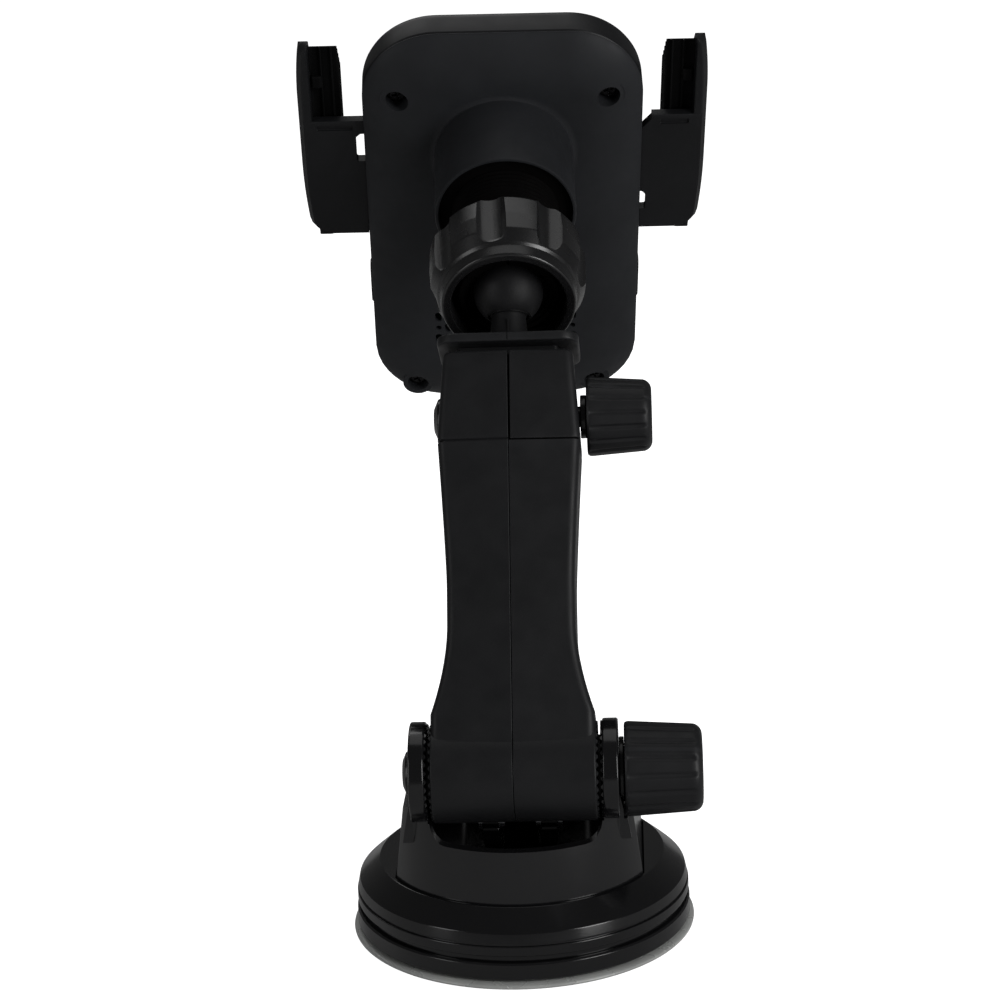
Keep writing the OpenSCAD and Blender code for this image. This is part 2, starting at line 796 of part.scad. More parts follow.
suction_cup();
bottom_ring();
base_cover();
base_housing();
base_screws();
stem();
stem_spring();
cam_pin();
lever();
pivot_bolt();
pivot_washer();
pivot_knob();
pivot_insert();
arm_shell_left();
arm_shell_right();
arm_screws();
clamp_plate();
clamp_bolt();
clamp_washer();
clamp_knob();
clamp_insert();
inner_arm();
ball_stud();
ball_sleeve();
ball_seat();
socket_collet();
pressure_ring();
socket_nut();
rear_cover();
front_bezel();
front_pad();
cover_screws();
charging_coil();
ferrite_disc();
circuit_board();
usb_socket();
gear_motor();
motor_gear();
pinion();
pinion_axle();
jaw_left();
jaw_right();
jaw_pad_left();
jaw_pad_right();
button_left();
button_right();
foot();
foot_pad();
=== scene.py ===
"""Looks of a telescopic dashboard phone mount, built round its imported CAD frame.

Lengths are in millimetres in the part's own frames and become metres in place()."""
import json
from math import acos, cos, degrees, hypot, pi, radians, sin, sqrt, tan
import bpy
import bmesh
from mathutils import Matrix, Vector


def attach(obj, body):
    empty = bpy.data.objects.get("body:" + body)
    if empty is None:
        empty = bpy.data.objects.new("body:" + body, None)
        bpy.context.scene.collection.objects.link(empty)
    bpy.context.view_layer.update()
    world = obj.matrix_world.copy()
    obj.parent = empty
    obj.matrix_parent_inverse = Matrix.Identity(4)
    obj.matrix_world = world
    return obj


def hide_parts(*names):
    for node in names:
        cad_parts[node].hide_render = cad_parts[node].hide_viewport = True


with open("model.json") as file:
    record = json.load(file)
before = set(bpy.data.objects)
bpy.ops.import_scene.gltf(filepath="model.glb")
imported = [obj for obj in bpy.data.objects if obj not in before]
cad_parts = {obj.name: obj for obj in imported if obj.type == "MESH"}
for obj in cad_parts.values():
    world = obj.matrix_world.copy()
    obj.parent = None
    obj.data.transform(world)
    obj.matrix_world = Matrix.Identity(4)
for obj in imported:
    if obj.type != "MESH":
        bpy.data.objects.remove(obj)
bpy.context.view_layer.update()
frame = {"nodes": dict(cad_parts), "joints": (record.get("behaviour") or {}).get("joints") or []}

MM = 0.001
JOINTS = {joint["name"]: joint for joint in frame["joints"]}

# ---- frames
X = Vector((1, 0, 0))


def basis(origin, x, y, z):
    """Matrix from a part's own axes in millimetres to the row frame in metres."""
    turn = Matrix((x, y, z)).transposed().to_4x4()
    return Matrix.Translation(Vector(origin)) @ turn @ Matrix.Scale(MM, 4)


ARM_UP = Vector(JOINTS["ball_pan"]["axis"])
BOSS_OUT = Vector(JOINTS["ball_spin"]["axis"])
PIVOT_AT = JOINTS["arm_tilt"]["pos_m"]
BALL_AT = JOINTS["ball_tilt"]["pos_m"]
# In the arm's frame Z runs up the arm. In the head's, X is the jaws' travel, Y points out of the back
# and Z, called v below, up the head.
BASE = Matrix.Scale(MM, 4)
PIVOT = basis(PIVOT_AT, X, Vector((0, 1, 0)), Vector((0, 0, 1)))
ARM = basis(PIVOT_AT, X, ARM_UP.cross(X), ARM_UP)
HEAD_SIDE = Vector(JOINTS["jaw_left_slide"]["axis"])
HEAD = basis(BALL_AT, HEAD_SIDE, BOSS_OUT, HEAD_SIDE.cross(BOSS_OUT))
HEAD_BACK = 3.5
SHELL = HEAD @ Matrix.Translation((0, -HEAD_BACK, 0))
BALL_S = (Vector(BALL_AT) - Vector(PIVOT_AT)).length / MM
CLAMP_S = (Vector(JOINTS["clamp_knob_turn"]["pos_m"]) - Vector(PIVOT_AT)).dot(ARM_UP) / MM

# Turn a solid of revolution drawn along Z onto another axis
ALONG_X = Matrix.Rotation(pi / 2, 4, "Y")
ALONG_MINUS_X = Matrix.Rotation(-pi / 2, 4, "Y")
ALONG_Y = Matrix.Rotation(-pi / 2, 4, "X")
MIRROR_X = Matrix.Scale(-1, 4, X)

# Turn an outline that is extruded along Z into a view from the side in (y, z), extruded along X, or a
# view from behind or from the front in (x, z), extruded along Y or against it
SIDE_VIEW = Matrix(((0, 0, 1, 0), (1, 0, 0, 0), (0, 1, 0, 0), (0, 0, 0, 1)))
REAR_VIEW = Matrix(((1, 0, 0, 0), (0, 0, 1, 0), (0, 1, 0, 0), (0, 0, 0, 1)))
FRONT_VIEW = Matrix(((1, 0, 0, 0), (0, 0, -1, 0), (0, 1, 0, 0), (0, 0, 0, 1)))


def shift(x=0, y=0, z=0):
    """A move without a turn."""
    return Matrix.Translation((x, y, z))


# ---- camera and light
CAMERA_SIDE = -29.9
CAMERA_BACK = 613.7
CAMERA_UP = 274.5
CAMERA_PITCH = 15.46
CAMERA_YAW = 2.96
CAMERA_ROLL = -2.32
LENS = 98.98
SENSOR = 36
NEAREST_SEEN = 0.01
LIT_POINT = (0, -0.03, 0.11)
SKY_SEEN = 1.0
SKY_LIGHT = 0.1


def add(name, data):
    """A new object in the scene."""
    thing = bpy.data.objects.new(name, data)
    bpy.context.scene.collection.objects.link(thing)
    return thing


def camera():
    pitch, yaw, roll = (radians(a) for a in (CAMERA_PITCH, CAMERA_YAW, CAMERA_ROLL))
    ahead = cos(pitch)
    forward = Vector((sin(yaw) * ahead, -cos(yaw) * ahead, -sin(pitch)))
    right = Vector((-cos(yaw), -sin(yaw), 0))
    up = right.cross(forward)
    tilted_right = cos(roll) * right + sin(roll) * up
    tilted_up = cos(roll) * up - sin(roll) * right
    data = bpy.data.cameras.new("camera")
    data.lens = LENS
    data.sensor_width = SENSOR
    data.clip_start = NEAREST_SEEN
    eye = add("camera", data)
    turn = Matrix((tilted_right, tilted_up, -forward)).transposed().to_4x4()
    eye.matrix_world = Matrix.Translation(Vector((CAMERA_SIDE, CAMERA_BACK, CAMERA_UP)) * MM) @ turn
    bpy.context.scene.camera = eye


def softbox(name, at, size, watts):
    """A rectangular lamp aimed at the middle of the mount."""
    data = bpy.data.lights.new(name, "AREA")
    data.shape = "RECTANGLE"
    data.size, data.size_y = size
    data.energy = watts
    lamp = add(name, data)
    lamp.location = at
    lamp.rotation_euler = (Vector(LIT_POINT) - Vector(at)).to_track_quat("-Z", "Y").to_euler()


def studio():
    softbox("key_right", (-0.85, 0.7, 0.4), (0.4, 0.9), 10)
    softbox("fill_left", (0.9, 0.65, 0.4), (0.3, 0.9), 2.6)
    softbox("top", (-0.05, -0.25, 1.05), (0.8, 0.7), 1.3)
    softbox("phone_side", (0.3, -0.8, 0.95), (0.7, 0.6), 2.2)
    world = bpy.data.worlds.new("studio")
    world.use_nodes = True
    tree = world.node_tree
    seen = tree.nodes.new("ShaderNodeLightPath").outputs["Is Camera Ray"]
    level = node(tree, "MapRange", Value=seen, To_Min=SKY_LIGHT, To_Max=SKY_SEEN).outputs["Result"]
    feed(tree, tree.nodes["Background"], Color=(1, 1, 1, 1), Strength=level)
    bpy.context.scene.world = world
    bpy.context.scene.view_settings.view_transform = "Standard"


# ---- materials
MATERIALS = {}
FINISHES = {
    "gloss_black": dict(colour=(0.0042, 0.0042, 0.0046), rough=0.16, grain=900, depth=0.00001,
                        strength=0.06, edge=1.5, specular=0.42),
    "textured_black": dict(colour=(0.0086, 0.0088, 0.0096), rough=0.46, grain=3600, depth=0.00004,
                           strength=0.5, edge=1.7, specular=0.22),
    "satin_black": dict(colour=(0.0068, 0.007, 0.0078), rough=0.42, grain=2600, specular=0.2),
    "soft_touch": dict(colour=(0.0138, 0.0146, 0.0165), rough=0.55, grain=4200, edge=1.1, specular=0.18),
    # inner_plastic is darker than the other black plastics: painted shade for the socket's neck and collet
    # deep in the boss's mouth.
    "inner_plastic": dict(colour=(0.001, 0.0008, 0.0008), rough=0.8, grain=2600, edge=1.05, specular=0.05),
    # rubber_black's strong edge lift (edge=5) is a painted highlight along the pad's ribs and ridges.
    "rubber_black": dict(colour=(0.0018, 0.0018, 0.0019), rough=0.75, grain=3200, depth=0.00003,
                         strength=0.5, edge=5, specular=0.06),
    "ball_black": dict(colour=(0.0062, 0.0062, 0.0068), rough=0.55, grain=1500, depth=0.00006,
                       strength=0.5, mottle=0.3, edge=1.3, specular=0.2),
    "nut_black": dict(colour=(0.006, 0.006, 0.0064), rough=0.27, grain=1200, depth=0.00001,
                      strength=0.1, edge=1.4),
    "bolt_black": dict(colour=(0.006, 0.006, 0.0064), rough=0.24, grain=1400, depth=0.00001,
                       strength=0.1, edge=1.4, specular=0.3),
    "nylon": dict(colour=(0.62, 0.6, 0.53), rough=0.42, grain=2000, strength=0.2, mottle=0.06, edge=1.1),
    "zinc_steel": dict(colour=(0.5, 0.51, 0.53), rough=0.32, grain=1800, strength=0.25, metal=1.0,
                       mottle=0.1, stretch=(1, 6, 1)),
    "spring_steel": dict(colour=(0.42, 0.42, 0.44), rough=0.28, grain=2200, depth=0.00001,
                         strength=0.2, metal=1.0),
    "screw_black": dict(colour=(0.012, 0.012, 0.013), rough=0.35, grain=2000, metal=0.6),
    "brass": dict(colour=(0.62, 0.43, 0.16), rough=0.3, grain=1500, strength=0.2, metal=1.0,
                  stretch=(1, 1, 8)),
    "copper": dict(colour=(0.5, 0.2, 0.08), rough=0.3, grain=1500, depth=0.00004, metal=0.9),
    "ferrite": dict(colour=(0.05, 0.05, 0.055), rough=0.65, grain=1500, depth=0.00003, strength=0.4),
    "board_green": dict(colour=(0.01, 0.085, 0.035), rough=0.3, grain=700, depth=0.00003, mottle=0.35),
}


def new_material(name):
    """A fresh material with its node tree, its shader and the object's coordinates."""
    material = bpy.data.materials.new(name)
    material.use_nodes = True
    tree = material.node_tree
    where = tree.nodes.new("ShaderNodeTexCoord").outputs["Object"]
    return material, tree, tree.nodes["Principled BSDF"], where


def feed(tree, made, **inputs):
    """Gives a node's inputs, spelt with underscores, a value each or another node's output."""
    for name, value in inputs.items():
        socket = made.inputs[name.replace("_", " ")]
        if isinstance(value, bpy.types.NodeSocket):
            tree.links.new(value, socket)
        else:
            socket.default_value = value


def node(tree, kind, **inputs):
    """A new shader node with its inputs fed."""
    made = tree.nodes.new("ShaderNode" + kind)
    feed(tree, made, **inputs)
    return made


def noise_of(tree, where, scale, detail, stretch=None):
    if stretch:
        where = node(tree, "Mapping", Scale=stretch, Vector=where).outputs["Vector"]
    return node(tree, "TexNoise", Scale=scale, Detail=detail, Vector=where).outputs["Fac"]


def ramp(tree, value, *stops):
    """Blends between two stops of (position, colour)."""
    made = node(tree, "ValToRGB", Fac=value)
    for stop, (position, colour) in zip(made.color_ramp.elements, stops):
        stop.position = position
        stop.color = (*colour, 1)
    return made.outputs["Color"]


def spread(tree, value, low, high):
    """Stretches the middle of a noise to run from low to high."""
    made = node(tree, "MapRange", From_Min=0.3, From_Max=0.7, To_Min=low, To_Max=high, Value=value)
    return made.outputs["Result"]


def edge_wear_and_highlight(tree, colour, edge_colour):
    """Mixes a lighter tone in along the convex edges: wear, and where the lift is strong, as on the rubber's
    ribs and ridges, a painted highlight.
    """
    shape = tree.nodes.new("ShaderNodeNewGeometry").outputs["Pointiness"]
    mask = ramp(tree, shape, (0.52, (0, 0, 0)), (0.62, (1, 1, 1)))
    mix = tree.nodes.new("ShaderNodeMix")
    mix.data_type = "RGBA"
    feed(tree, mix, Factor=mask, A=colour, B=(*edge_colour, 1))
    return mix.outputs["Result"]


def bump_of(tree, height, strength, distance):
    return node(tree, "Bump", Strength=strength, Distance=distance, Height=height).outputs["Normal"]


def plain_finish(name, colour, rough, grain, depth=0.00002, strength=0.3, metal=0.0, mottle=0.15,
                 stretch=None, edge=1.6, specular=0.5):
    """One moulded or metal finish: mottled colour, uneven gloss, fine grain and lighter edges."""
    material, tree, shader, where = new_material(name)
    cloud = noise_of(tree, where, 60, 4)
    dark = tuple(c * (1 - mottle) for c in colour)
    light = tuple(c * (1 + mottle) for c in colour)
    tone = ramp(tree, cloud, (0.3, dark), (0.7, light))
    # Lighter convex edges: wear, and on the rubber a painted highlight.
    tone = edge_wear_and_highlight(tree, tone, tuple(min(1, c * edge) for c in colour))
    gloss = spread(tree, noise_of(tree, where, 180, 5, stretch), rough * 0.88, rough * 1.12)
    relief = bump_of(tree, noise_of(tree, where, grain, 2, stretch), strength, depth)
    feed(tree, shader, Base_Color=tone, Roughness=gloss, Normal=relief, Metallic=metal)
    feed(tree, shader, Specular_IOR_Level=specular)
    return material


def gel():
    """Clear sticky gel, faintly milky, that lets light through."""
    material, tree, shader, where = new_material("gel")
    cloud = noise_of(tree, where, 90, 4)
    tone = ramp(tree, cloud, (0.3, (0.5, 0.51, 0.5)), (0.7, (0.66, 0.67, 0.65)))
    relief = bump_of(tree, noise_of(tree, where, 1200, 2), 0.15, 0.00002)
    feed(tree, shader, Base_Color=tone, Roughness=spread(tree, cloud, 0.2, 0.34), Normal=relief)
    feed(tree, shader, Transmission_Weight=0.45, IOR=1.42)
    return material


def finish(name):
    """The material of that name, made when it is first asked for."""
    if name not in MATERIALS:
        MATERIALS[name] = gel() if name == "gel" else plain_finish(name, **FINISHES[name])
    return MATERIALS[name]


def floor_paper():
    """White to the eye, but a softer bounce on the mount, as from a floor lit from far away."""
    material, tree, shader, where = new_material("floor_paper")
    tone = ramp(tree, noise_of(tree, where, 40, 4), (0.3, (0.9, 0.9, 0.9)), (0.7, (0.93, 0.93, 0.93)))
    feed(tree, shader, Base_Color=tone, Roughness=0.9, Emission_Color=(1, 1, 1, 1), Emission_Strength=1.0)
    bounce = node(tree, "BsdfDiffuse", Color=(0.62, 0.62, 0.62, 1))
    mix = node(tree, "MixShader", Fac=tree.nodes.new("ShaderNodeLightPath").outputs["Is Camera Ray"])
    tree.links.new(bounce.outputs["BSDF"], mix.inputs[1])
    tree.links.new(shader.outputs["BSDF"], mix.inputs[2])
    feed(tree, tree.nodes["Material Output"], Surface=mix.outputs["Shader"])
    return material


# ---- outlines
def arc(cx, cy, r, a0, a1, steps):
    """Points on an arc, angles in degrees."""
    turns = [radians(a0 + (a1 - a0) * i / steps) for i in range(steps + 1)]
    return [(cx + r * cos(t), cy + r * sin(t)) for t in turns]


def fillet(points, radius, steps=4, closed=True):
    """Rounds the corners of an outline. radius is one number or one for each point."""
    count = len(points)
    radii = radius if isinstance(radius, (list, tuple)) else [radius] * count
    out = []
    for i, here in enumerate(points):
        if not closed and i in (0, count - 1):
            out.append(here)
            continue
        p = Vector(here)
        a = Vector(points[i - 1]) - p
        b = Vector(points[(i + 1) % count]) - p
        r = min(radii[i], 0.45 * a.length, 0.45 * b.length)
        if r < 1e-4:
            out.append(here)
            continue
        half = a.angle(b) / 2
        if half > radians(88):
            out.append(here)
            continue
        reach = min(r / tan(half), 0.45 * a.length, 0.45 * b.length)
        start, end = p + a.normalized() * reach, p + b.normalized() * reach
        for k in range(steps + 1):
            t = k / steps
            q = start * (1 - t) ** 2 + p * 2 * t * (1 - t) + end * t * t
            out.append((q.x, q.y))
    return out


def round_rect(w, h, r, steps, cx=0.0, cy=0.0):
    """Rectangle with round corners, counter-clockwise from the right side."""
    x, y = w / 2 - r, h / 2 - r
    return (arc(cx + x, cy + y, r, 0, 90, steps) + arc(cx - x, cy + y, r, 90, 180, steps)
            + arc(cx - x, cy - y, r, 180, 270, steps) + arc(cx + x, cy - y, r, 270, 360, steps))


def inset(outline, d):
    """The outline moved inwards by d along its corner bisectors."""
    out = []
    count = len(outline)
    for i in range(count):
        p = Vector(outline[i])
        before, after = p - Vector(outline[i - 1]), Vector(outline[(i + 1) % count]) - p
        if before.length < 1e-6 or after.length < 1e-6:
            before = after if before.length < 1e-6 else before
            after = before if after.length < 1e-6 else after
        n1 = Vector((-before.y, before.x)).normalized()
        n2 = Vector((-after.y, after.x)).normalized()
        n = n1 + n2
        n = n1 if n.length < 1e-6 else n.normalized()
        stretch = max(0.5, n.dot(n1))
        q = p + n * d / stretch
        out.append((q.x, q.y))
    return out


# ---- mesh making
RIM_STEPS = 3


def at_height(outline, z):
    return [(x, y, z) for x, y in outline]


def loft(loops, closed_ring=False):
    """Skin over loops of equal length. The ends are capped, or joined for a closed ring."""
    n = len(loops[0])
    verts = [p for loop in loops for p in loop]
    faces = []
    spans = len(loops) if closed_ring else len(loops) - 1
    for i in range(spans):
        a, b = i * n, (i + 1) % len(loops) * n
        for k in range(n):
            k2 = (k + 1) % n
            faces.append((a + k, a + k2, b + k2, b + k))
    if not closed_ring:
        faces.append(tuple(reversed(range(n))))
        faces.append(tuple(range((len(loops) - 1) * n, len(loops) * n)))
    return verts, faces


def lathe(profile, n, ring=False):
    """Solid of revolution about Z from (radius, height) points. A ring's profile closes on itself."""
    spokes = [(cos(2 * pi * k / n), sin(2 * pi * k / n)) for k in range(n)]
    loops = [[(max(r, 1e-4) * c, max(r, 1e-4) * s, z) for c, s in spokes] for r, z in profile]
    return loft(loops, ring)


def slab(outline, z0, z1, rim=0.0, rim0=None):
    """The outline extruded along Z with rounded rims, rim at the far end and rim0 at the near one."""
    low = rim if rim0 is None else rim0
    quarter = [pi / 2 * i / RIM_STEPS for i in range(RIM_STEPS + 1)]
    loops = []
    if low > 0:
        for a in quarter[:-1]:
            edge = inset(outline, low * (1 - sin(a)))
            loops.append(at_height(edge, z0 + low * (1 - cos(a))))
    loops += [at_height(outline, z0 + low), at_height(outline, z1 - rim)]
    if rim > 0:
        for a in quarter[1:]:
            edge = inset(outline, rim * (1 - cos(a)))
            loops.append(at_height(edge, z1 - rim + rim * sin(a)))
    return loft(loops)


def raw(name, shell, turn=Matrix.Identity(4)):
    """A mesh object from (verts, faces), turned, still in millimetres."""
    verts, faces = shell
    mesh = bpy.data.meshes.new(name)
    mesh.from_pydata([turn @ Vector(v) for v in verts], [], faces)
    bm = bmesh.new()
    bm.from_mesh(mesh)
    bmesh.ops.remove_doubles(bm, verts=bm.verts, dist=1e-4)
    bmesh.ops.dissolve_degenerate(bm, edges=bm.edges, dist=1e-5)
    bmesh.ops.recalc_face_normals(bm, faces=bm.faces)
    bm.to_mesh(mesh)
    bm.free()
    return add(name, mesh)


def rod(name, r, z0, z1, turn=Matrix.Identity(4), n=48):
    """A plain cylinder drawn along Z, then turned."""
    return raw(name, lathe([(r, z0), (r, z1)], n), turn)


def block(name, low, high, r, rim, turn=Matrix.Identity(4)):
    """A box between two corners, its upright edges rounded by r and its rims by rim, then turned."""
    w, h = high[0] - low[0], high[1] - low[1]
    corner = min(r, 0.49 * w, 0.49 * h)
    outline = round_rect(w, h, corner, 4, (low[0] + high[0]) / 2, (low[1] + high[1]) / 2)
    return raw(name, slab(outline, low[2], high[2], rim), turn)


def settle(thing):
    """Applies the modifiers of an object to its mesh."""
    graph = bpy.context.evaluated_depsgraph_get()
    mesh = bpy.data.meshes.new_from_object(thing.evaluated_get(graph))
    thing.modifiers.clear()
    thing.data = mesh
    return thing


def boolean(thing, others, operation):
    for other in others:
        mod = thing.modifiers.new(operation, "BOOLEAN")
        mod.operation = operation
        mod.solver = "MANIFOLD"
        mod.object = other
    settle(thing)
    for other in others:
        bpy.data.objects.remove(other)
    return thing


def cut(thing, *others):
    return boolean(thing, others, "DIFFERENCE")


def fuse(thing, *others):
    return boolean(thing, others, "UNION")


def merge(thing, *others):
    """Joins loose shells into one mesh without touching their shapes."""
    bm = bmesh.new()
    for part in (thing, *others):
        bm.from_mesh(part.data)
    bm.to_mesh(thing.data)
    bm.free()
    for other in others:
        bpy.data.objects.remove(other)
    return thing


def soften(thing, width, angle=38, segments=2):
    """Rounds the sharp edges that booleans leave."""
    bm = bmesh.new()
    bm.from_mesh(thing.data)
    bmesh.ops.remove_doubles(bm, verts=bm.verts, dist=0.004)
    bmesh.ops.dissolve_limit(bm, angle_limit=radians(0.5), verts=bm.verts, edges=bm.edges)
    bm.to_mesh(thing.data)
    bm.free()
    mod = thing.modifiers.new("soften", "BEVEL")
    mod.width = width
    mod.segments = segments
    mod.limit_method = "ANGLE"
    mod.angle_limit = radians(angle)
    mod.use_clamp_overlap = True
    return settle(thing)


def place(thing, axes, body, look, *nodes, smooth=38, slot=None):
    """Moves a finished mesh into the row frame, shades it and lets it ride on its body."""
    slot = slot or look
    thing.data.transform(axes)
    if axes.determinant() < 0:
        thing.data.flip_normals()
    thing.data.polygons.foreach_set("use_smooth", [True] * len(thing.data.polygons))
    thing.data.set_sharp_from_angle(angle=radians(smooth))
    mod = thing.modifiers.new("normals", "WEIGHTED_NORMAL")
    mod.keep_sharp = True
    settle(thing)
    thing.data.materials.clear()
    thing.data.materials.append(finish(look))
    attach(thing, body)
    if nodes:
        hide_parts(*nodes)


# ---- suction base
CUP_R = 41
RING_R = 40
DRUM_R = 33
DRUM_HALF = 29
DECK_TOP = 17.5
DRAFT_Z = 17.4
DRAFT = 0.13
PIVOT_Y = PIVOT_AT[1] / MM
PIVOT_Z = PIVOT_AT[2] / MM
EAR_IN, EAR_OUT = 20.4, 24.1
EAR_R = 11.9
CAM_Z = 24.5
PIVOT_BORE = 3.05
TEETH = 36
TOOTH_IN = 8.3


def suction_cup():
    grooves = []
    for r in (12, 18, 24, 30, 35):
        grooves += [(r, 0), (r + 0.4, 0.25), (r + 0.8, 0.25), (r + 1.2, 0)]
    rim = [(CUP_R - 1.2, 0)] + arc(CUP_R - 0.45, 0.45, 0.45, -90, 90, 6) + [(RING_R - 0.5, 1.25)]
    top = [(9.6, 2), (9, 2.3), (9, 3.1), (8.8, 3.3), (0, 3.3)]
    cup = raw("suction_cup_gel", lathe([(0, 0)] + grooves + rim + top, 128))
    place(cup, BASE, "base", "gel", "suction_cup")


def bottom_ring():
    outline = [(31, 2.2), (RING_R - 0.6, 1.5), (RING_R, 2.1), (RING_R, 5.6), (RING_R - 0.4, 6), (31, 6)]
    profile = fillet(outline, [0.2, 0.4, 0.4, 0.35, 0.2, 0.2])
    ring = raw("pressure_ring_base", lathe(profile, 160, ring=True))
    place(ring, BASE, "base", "gloss_black", "bottom_ring")


def drum_outline(grow, corner):
    """Circle with two flats, corners slightly rounded."""
    r, half = DRUM_R + grow, DRUM_HALF + grow
    a = degrees(acos(half / r))
    points = arc(0, 0, r, a, 180 - a, 40) + arc(0, 0, r, 180 + a, 360 - a, 40)
    radii = [0.0] * len(points)
    for i in (0, 40, 41, 81):
        radii[i] = corner
    return fillet(points, radii, 3)


def drum_shell(z0, z1, grow=0.0, corner=1.2):
    """The drum: upright at the foot, then drawing in towards the top."""
    loops = []
    for z in [z0, DRAFT_Z, z1] if z0 < DRAFT_Z < z1 else [z0, z1]:
        loops.append(at_height(drum_outline(grow - DRAFT * max(0, z - DRAFT_Z), corner), z))
    return loft(loops)


def base_cover():
    profile = fillet([
        (36.7, 6), (RING_R - 1.2, 6), (RING_R - 1.2, 7.6), (RING_R - 0.2, 7.6), (RING_R - 0.2, 10),
        (RING_R - 0.75, 10.05), (RING_R - 0.75, 10.55), (RING_R - 0.4, 10.6), (RING_R - 0.9, 13.0),
        (RING_R - 2.2, 14.2), (DRUM_R + 1, DRAFT_Z), (20, DRAFT_Z), (20, 13), (36.7, 11),
    ], [0.1, 0.2, 0.2, 0.45, 0.45, 0.1, 0.1, 0.4, 0.5, 0.7, 0.5, 0.1, 0.1, 0.1])
    cover = raw("base_cover_shell", lathe(profile, 192, ring=True))
    cut(cover, raw("hole", slab(drum_outline(0.3, 1.2), -5, 30)))
    place(cover, BASE, "base", "gloss_black", "base_cover", smooth=30)


def shoulder(x):
    """Height of the drum's front edge: flat scoop, rise to the ears, arch down to the flats."""
    floor, peak, corner, scoop = 29.6, 36.6, 30.0, 16.5
    if x < scoop:
        return floor
    if x < EAR_IN:
        t = (x - scoop) / (EAR_IN - scoop)
        return floor + (peak - floor) * (1 - sqrt(max(0, 1 - t ** 2.2)))
    t = (x - EAR_IN) / (DRUM_HALF - EAR_IN)
    return corner + (peak - corner) * sqrt(max(0, 1 - t ** 2.4))


def ear_outline():
    """Side view of an ear in (y, z), from the deck round the pivot."""
    neck = [(1.5, DECK_TOP - 0.2), (20.5, DECK_TOP - 0.2), (20.5, 34.6)]
    crown = arc(PIVOT_Y, PIVOT_Z, EAR_R, -50, 197, 44)
    return fillet(neck + crown, [0.2, 0.2, 0.5] + [0.0] * len(crown), 4)


def base_housing():
    wall = 2.6
    pivot = shift(0, PIVOT_Y, PIVOT_Z) @ ALONG_X
    drum = raw("housing", drum_shell(6, 40))
    steps = 58
    edge = [-DRUM_HALF - 1 + 2 * (DRUM_HALF + 1) * i / steps for i in range(steps + 1)]
    front = [(x, shoulder(min(abs(x), DRUM_HALF))) for x in edge]
    crop = slab([(DRUM_HALF + 1, 60), (-DRUM_HALF - 1, 60)] + front, 0, 60)
    cut(drum, raw("crop_front", crop, REAR_VIEW),
        block("crop_back", (-50, -50, 27), (50, 0.01, 60), 0.1, 0),
        raw("well", drum_shell(DECK_TOP, 60, -wall, 1.0)),
        raw("hollow", drum_shell(0, 15, -wall, 1.0)),
        rod("barrel_room", BARREL_R + 0.3, -EAR_IN, EAR_IN, pivot, 96))
    flange = raw("flange", lathe([(31, 6.1), (36.4, 6.1), (36.4, 8.5), (31, 8.5)], 96, ring=True))
    ears = []
    for side in (-1, 1):
        x0 = EAR_IN if side > 0 else -EAR_OUT
        ears.append(raw("ear", slab(ear_outline(), x0, x0 + EAR_OUT - EAR_IN, 0.5), SIDE_VIEW))
        for deep, foot in ((20.3, ((21, 28), (26.6, 28), (26, 31.5))), (24.2, ((21, 35.4),))):
            flare = [(side * x, z) for x, z in foot + ((25.2, 35.4), (24, 41), (21, 41))]
            ears.append(raw("flare", slab(flare, 4.2, deep), REAR_VIEW))
    fuse(drum, flange, *ears)
    cut(drum, block("notch", (-15.8, -50, DECK_TOP), (15.8, -20, 60), 0.5, 0),
        rod("bore", PIVOT_BORE, -40, 40, pivot),
        rod("stem_hole", 4.2, 10, 22),
        rod("knob_room", 11.5, -45, -24.9, pivot, 64))
    soften(drum, 0.35)
    merge(drum, ring_teeth((-1, 1), EAR_IN + 0.1, EAR_IN - 0.42, 11.3, 0, shift(0, PIVOT_Y, PIVOT_Z)))
    place(drum, BASE, "base", "gloss_black", "base_housing", smooth=32)


def ring_teeth(sides, base_x, tip_x, tooth_out, phase, at=Matrix.Identity(4)):
    """Wedge teeth round the pivot, on the given sides, from |x| = base_x to tip_x."""
    box = ((0, 1, 2, 3), (7, 6, 5, 4), (0, 4, 5, 1), (1, 5, 6, 2), (2, 6, 7, 3), (3, 7, 4, 0))
    verts, faces = [], []
    for side in sides:
        for i in range(TEETH):
            turn = Matrix.Rotation(2 * pi * (i + phase) / TEETH, 4, "X")
            points = []
            for r, half in ((TOOTH_IN, 0.5), (tooth_out, 0.78)):
                points += [(side * base_x, -half, r), (side * base_x, half, r),
                           (side * tip_x, half * 0.25, r), (side * tip_x, -half * 0.25, r)]
            first = len(verts)
            verts += [at @ turn @ Vector(p) for p in points]
            faces += [tuple(first + corner for corner in face) for face in box]
    return raw("teeth", (verts, faces))


